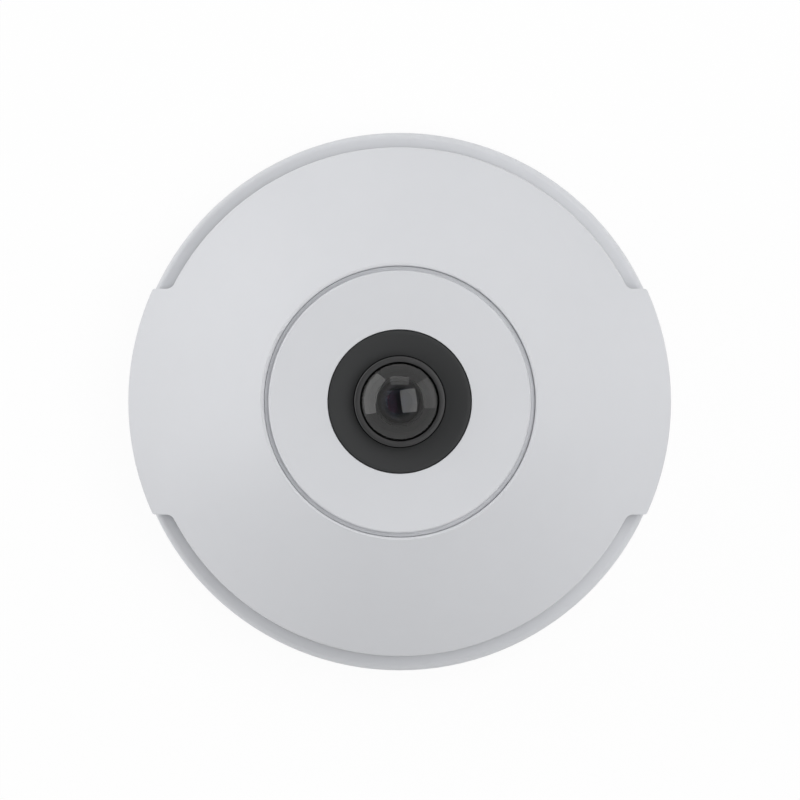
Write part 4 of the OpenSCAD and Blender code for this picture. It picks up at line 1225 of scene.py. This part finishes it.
@dataclass
class PowerParts:
    """Transformer and electrolytic capacitors of the power stage.

    The transformer's pieces have shares of its CAD box, along X, Y and Z.
    """

    bobbin_height: float = 1.6
    bobbin_lift: float = 0.2
    bobbin_shares: Point = (0.86, 0.92)
    bobbin_rounding: float = 0.15
    core_shares: Point = (0.96, 0.62)
    core_rounding: float = 0.3
    core_steps: int = 3
    winding_shares: Size = (0.68, 0.94, 0.66)
    winding_rounding: float = 1.1
    winding_steps: int = 4
    pins: int = 4
    pin_pitch: float = 2.5
    pin_size: Size = (0.7, 1.0, 0.25)
    pin_rounding: float = 0.06
    can_centres: tuple[Point, ...] = ((19.4, 30.0), (9.4, 33.0))
    can_gap: float = 0.25
    can_foot: float = 1.2
    crimp_heights: Size = (0.5, 0.95, 1.4)
    crimp_depth: float = 0.35
    crimp_rounding: float = 0.15
    shoulder_rounding: float = 0.45
    top_shares: Point = (0.8, 0.76)
    top_drop: float = 0.12
    top_roundings: Point = (0.1, 0.05)
    mark_shares: Point = (0.42, 0.77)
    can_steps: int = 96
    foot_corner: float = 1.6
    foot_rounding: float = 0.08

    def build(self) -> None:
        """Makes the transformer, then the capacitors."""
        self.transformer()
        self.cans()

    def transformer(self) -> None:
        """Ferrite core round a taped winding, on a bobbin with pins on both sides."""
        low, high = box_of("power_transformer")
        width = high.x - low.x
        x, y = (low.x + high.x) / 2, (low.y + high.y) / 2
        foot = low.z + self.bobbin_height
        tall = high.z - foot
        core, winding, bobbin = ((width * shares[0], width * shares[1]) for shares in
                                 (self.core_shares, self.winding_shares, self.bobbin_shares))
        wound = tall * self.winding_shares[2]
        block((*core, tall), (x, y, foot), self.core_rounding, self.core_steps).piece(
            "transformer_core", FINISHES["ferrite"], replaces="power_transformer")
        wound_foot = foot + (tall - wound) / 2
        block((*winding, wound), (x, y, wound_foot), self.winding_rounding, self.winding_steps).piece(
            "transformer_winding", WINDING_TAPE, slot="ferrite")
        form = block((*bobbin, self.bobbin_height - self.bobbin_lift), (x, y, low.z + self.bobbin_lift),
                     self.bobbin_rounding)
        out = (width - self.pin_size[1]) / 2
        for along in in_row(self.pins, self.pin_pitch):
            for side in (-out, out):
                form.add(block(self.pin_size, (x + along, y + side, low.z), self.pin_rounding, 1).zone(1))
        form.piece("transformer_bobbin", FINISHES["holder_plastic"], TIN, slot="ferrite")

    def cans(self) -> None:
        """Aluminium cans with a crimp, a dark polarity mark and a black foot with two cut corners."""
        low, high = box_of("capacitors")
        radius = high.x - self.can_centres[0][0]
        wall = radius - self.can_gap
        foot_top = low.z + self.can_foot
        start, top = foot_top - self.can_foot / 2, high.z - self.top_drop
        crimp = [foot_top + height for height in self.crimp_heights]
        can = Outline(0.0, start).to(
            (wall, start), (wall, crimp[0], self.crimp_rounding),
            (wall - self.crimp_depth, crimp[1], self.crimp_rounding), (wall, crimp[2], self.crimp_rounding),
            (wall, high.z, self.shoulder_rounding),
            (wall * self.top_shares[0], high.z, self.top_roundings[0]),
            (wall * self.top_shares[1], top, self.top_roundings[1]), (0.0, top),
        ).turned(self.can_steps)
        mark, reach = (wall * share for share in self.mark_shares)
        can.split((0.0, -mark, 0.0), (0.0, 1.0, 0.0))
        can.zone(1, lambda at: at.z > top - NEAR and at.y < -mark and at.xy.length < reach)
        foot = block((2 * radius, 2 * radius, self.can_foot), (0.0, 0.0, low.z))
        corners = [
            edge for edge in foot.bm.edges
            if all(v.co.x > 0 for v in edge.verts) and abs(edge.verts[0].co.z - edge.verts[1].co.z) > NEAR
        ]
        foot.bevel(corners, self.foot_corner)
        foot.soften(self.foot_rounding)
        places = [Matrix.Translation((x, y, 0.0)) for x, y in self.can_centres]
        Form().add(can, *places).piece(
            "capacitor_cans", FINISHES["capacitor_can"], INK, replaces="capacitors")
        Form().add(foot, *places).piece(
            "capacitor_feet", FINISHES["holder_plastic"], slot="capacitor_can")


@dataclass
class CardContacts:
    """Gold contacts under the memory card's inner end."""

    count: int = 8
    pitch: float = 1.1
    size: Size = (0.75, 2.9, 0.06)
    setback: float = 0.5
    proud: float = 0.02
    rounding: float = 0.02

    def build(self) -> None:
        """Makes the row of contacts."""
        low, high = box_of("memory_card")
        middle, y = (low.x + high.x) / 2, low.y + self.setback + self.size[1] / 2
        row = Form()
        for along in in_row(self.count, self.pitch):
            row.add(block(self.size, (middle + along, y, low.z - self.proud), self.rounding, 1))
        row.piece("card_contacts", FINISHES["contact_gold"], body="card")


# Stage


@dataclass(frozen=True)
class SoftBox:
    """A lamp behind a diffuser, with its place and size in metres."""

    name: str
    place: Size
    width: float
    height: float
    watts: float

    def light(self, target: Vector) -> None:
        """Sets the lamp up so that it faces the target.

        Args:
            target: The point that it faces, in metres.
        """
        lamp = bpy.data.lights.new(self.name, "AREA")
        lamp.shape, lamp.size, lamp.size_y, lamp.energy = "RECTANGLE", self.width, self.height, self.watts
        stand = bpy.data.objects.new(self.name, lamp)
        stand.location = self.place
        stand.rotation_euler = (Vector(self.place) - target).to_track_quat("Z", "Y").to_euler()
        stand.visible_camera = False
        bpy.context.collection.objects.link(stand)


@dataclass(frozen=True)
class Studio:
    """Floor, lamps, world and the camera that looks straight down on the lens."""

    frame_width: float = 148.53
    focal_length: float = 800.0
    sensor: float = 36.0
    shift_right: float = 0.06
    shift_up: float = 0.30
    plane_height: float = 24.0
    clip_shares: Point = (0.1, 4.0)
    floor_size: float = 3.0
    floor_drop: float = 0.1
    paper: Colour = (0.92, 0.92, 0.92)
    glow: float = 0.93
    sky: float = 0.5
    ceiling_from: float = 0.45
    ceiling_at: float = 0.92
    ceiling: float = 0.12
    boxes: tuple[SoftBox, ...] = (
        SoftBox("left_box", (-0.72, 0.20, 0.28), 1.20, 0.50, 2.75),
        SoftBox("right_box", (0.72, 0.20, 0.28), 0.80, 0.50, 0.8),
        SoftBox("top_box", (0.0, 0.85, 0.75), 0.80, 0.40, 0.9),
        SoftBox("front_box", (0.28, 0.03, 0.75), 0.75, 0.50, 2.35),
    )

    def build(self) -> None:
        """Makes the whole stage."""
        self._camera()
        self._floor()
        self._world()
        for box in self.boxes:
            box.light(Vector((0.0, 0.0, self.plane_height * MM)))

    def _camera(self) -> None:
        """Long lens over the object, with +Y up in the picture."""
        data = bpy.data.cameras.new("camera")
        data.lens, data.sensor_width = self.focal_length, self.sensor
        distance = self.frame_width * self.focal_length / self.sensor * MM
        data.clip_start, data.clip_end = (distance * share for share in self.clip_shares)
        seen_from = bpy.data.objects.new("camera", data)
        seen_from.location = (self.shift_right * MM, self.shift_up * MM, self.plane_height * MM + distance)
        bpy.context.collection.objects.link(seen_from)
        bpy.context.scene.camera = seen_from

    def _rays(self, net: Net) -> tuple[Wire, Wire]:
        """Tells the rays that show the background.

        Args:
            net: The tree of the floor's material or of the world.

        Returns:
            1 for the camera's rays, and 1 for those mirrored in metal or seen through glass.
        """
        path = net.node("ShaderNodeLightPath").outputs
        glossy, through = Wire(net, path["Is Glossy Ray"]), Wire(net, path["Is Transmission Ray"])
        return Wire(net, path["Is Camera Ray"]), glossy.larger(through)

    def _floor(self) -> None:
        """White floor that keeps the object's shadow and is open to a look from underneath."""
        bm = bmesh.new()
        bmesh.ops.create_grid(bm, x_segments=1, y_segments=1, size=self.floor_size / 2,
                              matrix=Matrix.Translation((0.0, 0.0, -self.floor_drop * MM)))
        mesh = bpy.data.meshes.new("floor")
        bm.to_mesh(mesh)
        bm.free()
        floor = bpy.data.objects.new("floor", mesh)
        bpy.context.collection.objects.link(floor)
        material = bpy.data.materials.new("floor_paper")
        material.use_nodes = True
        net = Net(material.node_tree)
        seen, mirrored = self._rays(net)
        matt = net.node("ShaderNodeBsdfDiffuse", {}, {"Color": self.paper}).outputs[0]
        white = net.node("ShaderNodeEmission", {}, {"Strength": 1.0}).outputs[0]
        clear = net.node("ShaderNodeBsdfTransparent").outputs[0]
        underside = net.node("ShaderNodeNewGeometry").outputs["Backfacing"]
        white_share = seen.larger(mirrored) * self.glow
        top = net.node("ShaderNodeMixShader", {}, {0: white_share, 1: matt, 2: white}).outputs[0]
        whole = net.node("ShaderNodeMixShader", {}, {0: underside, 1: top, 2: clear}).outputs[0]
        net.node("ShaderNodeOutputMaterial", {}, {"Surface": whole})
        mesh.materials.append(material)

    def _world(self) -> None:
        """Even light from all round: white where it is seen, and a dim ceiling in mirrored light."""
        world = bpy.data.worlds.new("studio_air")
        world.use_nodes = True
        bpy.context.scene.world = world
        bpy.context.scene.view_settings.view_transform = "Standard"
        net = Net(world.node_tree)
        seen, mirrored = self._rays(net)
        direction = net.node("ShaderNodeTexCoord").outputs["Generated"]
        studio = net.wire(
            "ShaderNodeMapRange", {"interpolation_type": "SMOOTHSTEP"},
            {"Value": net.wire("ShaderNodeSeparateXYZ", {}, {0: direction}, 2), "To Min": 1.0,
             "From Min": self.ceiling_from, "From Max": self.ceiling_at, "To Max": self.ceiling},
        )
        strength = seen + (1 - seen) * (mirrored * studio + (1 - mirrored) * self.sky)
        air = net.node("ShaderNodeBackground", {}, {"Color": (1.0, 1.0, 1.0), "Strength": strength})
        net.node("ShaderNodeOutputWorld", {}, {"Surface": air.outputs[0]})


def dress_frame(nodes: Mapping[str, bpy.types.Object]) -> None:
    """Gives each CAD node the finish of its material slot.

    Args:
        nodes: The frame's objects by name.
    """
    for name, node in sorted(nodes.items()):
        for slot in node.material_slots:
            slot.material = FINISHES[slot.material.name.split(".")[0]].material()
        log.info("%s has its finish", name)


def main() -> None:
    """Builds the sub-assemblies in order, then the stage."""
    logging.basicConfig(level=logging.INFO, format="%(name)s: %(message)s")
    dress_frame(frame["nodes"])
    fasteners = Fasteners()
    assemblies = (LensStack(), CentreGroup(), fasteners, BoardParts(fasteners.circles()), PowerParts(),
                  CardContacts(), Studio())
    for assembly in assemblies:
        assembly.build()


if __name__ == "__main__":
    main()
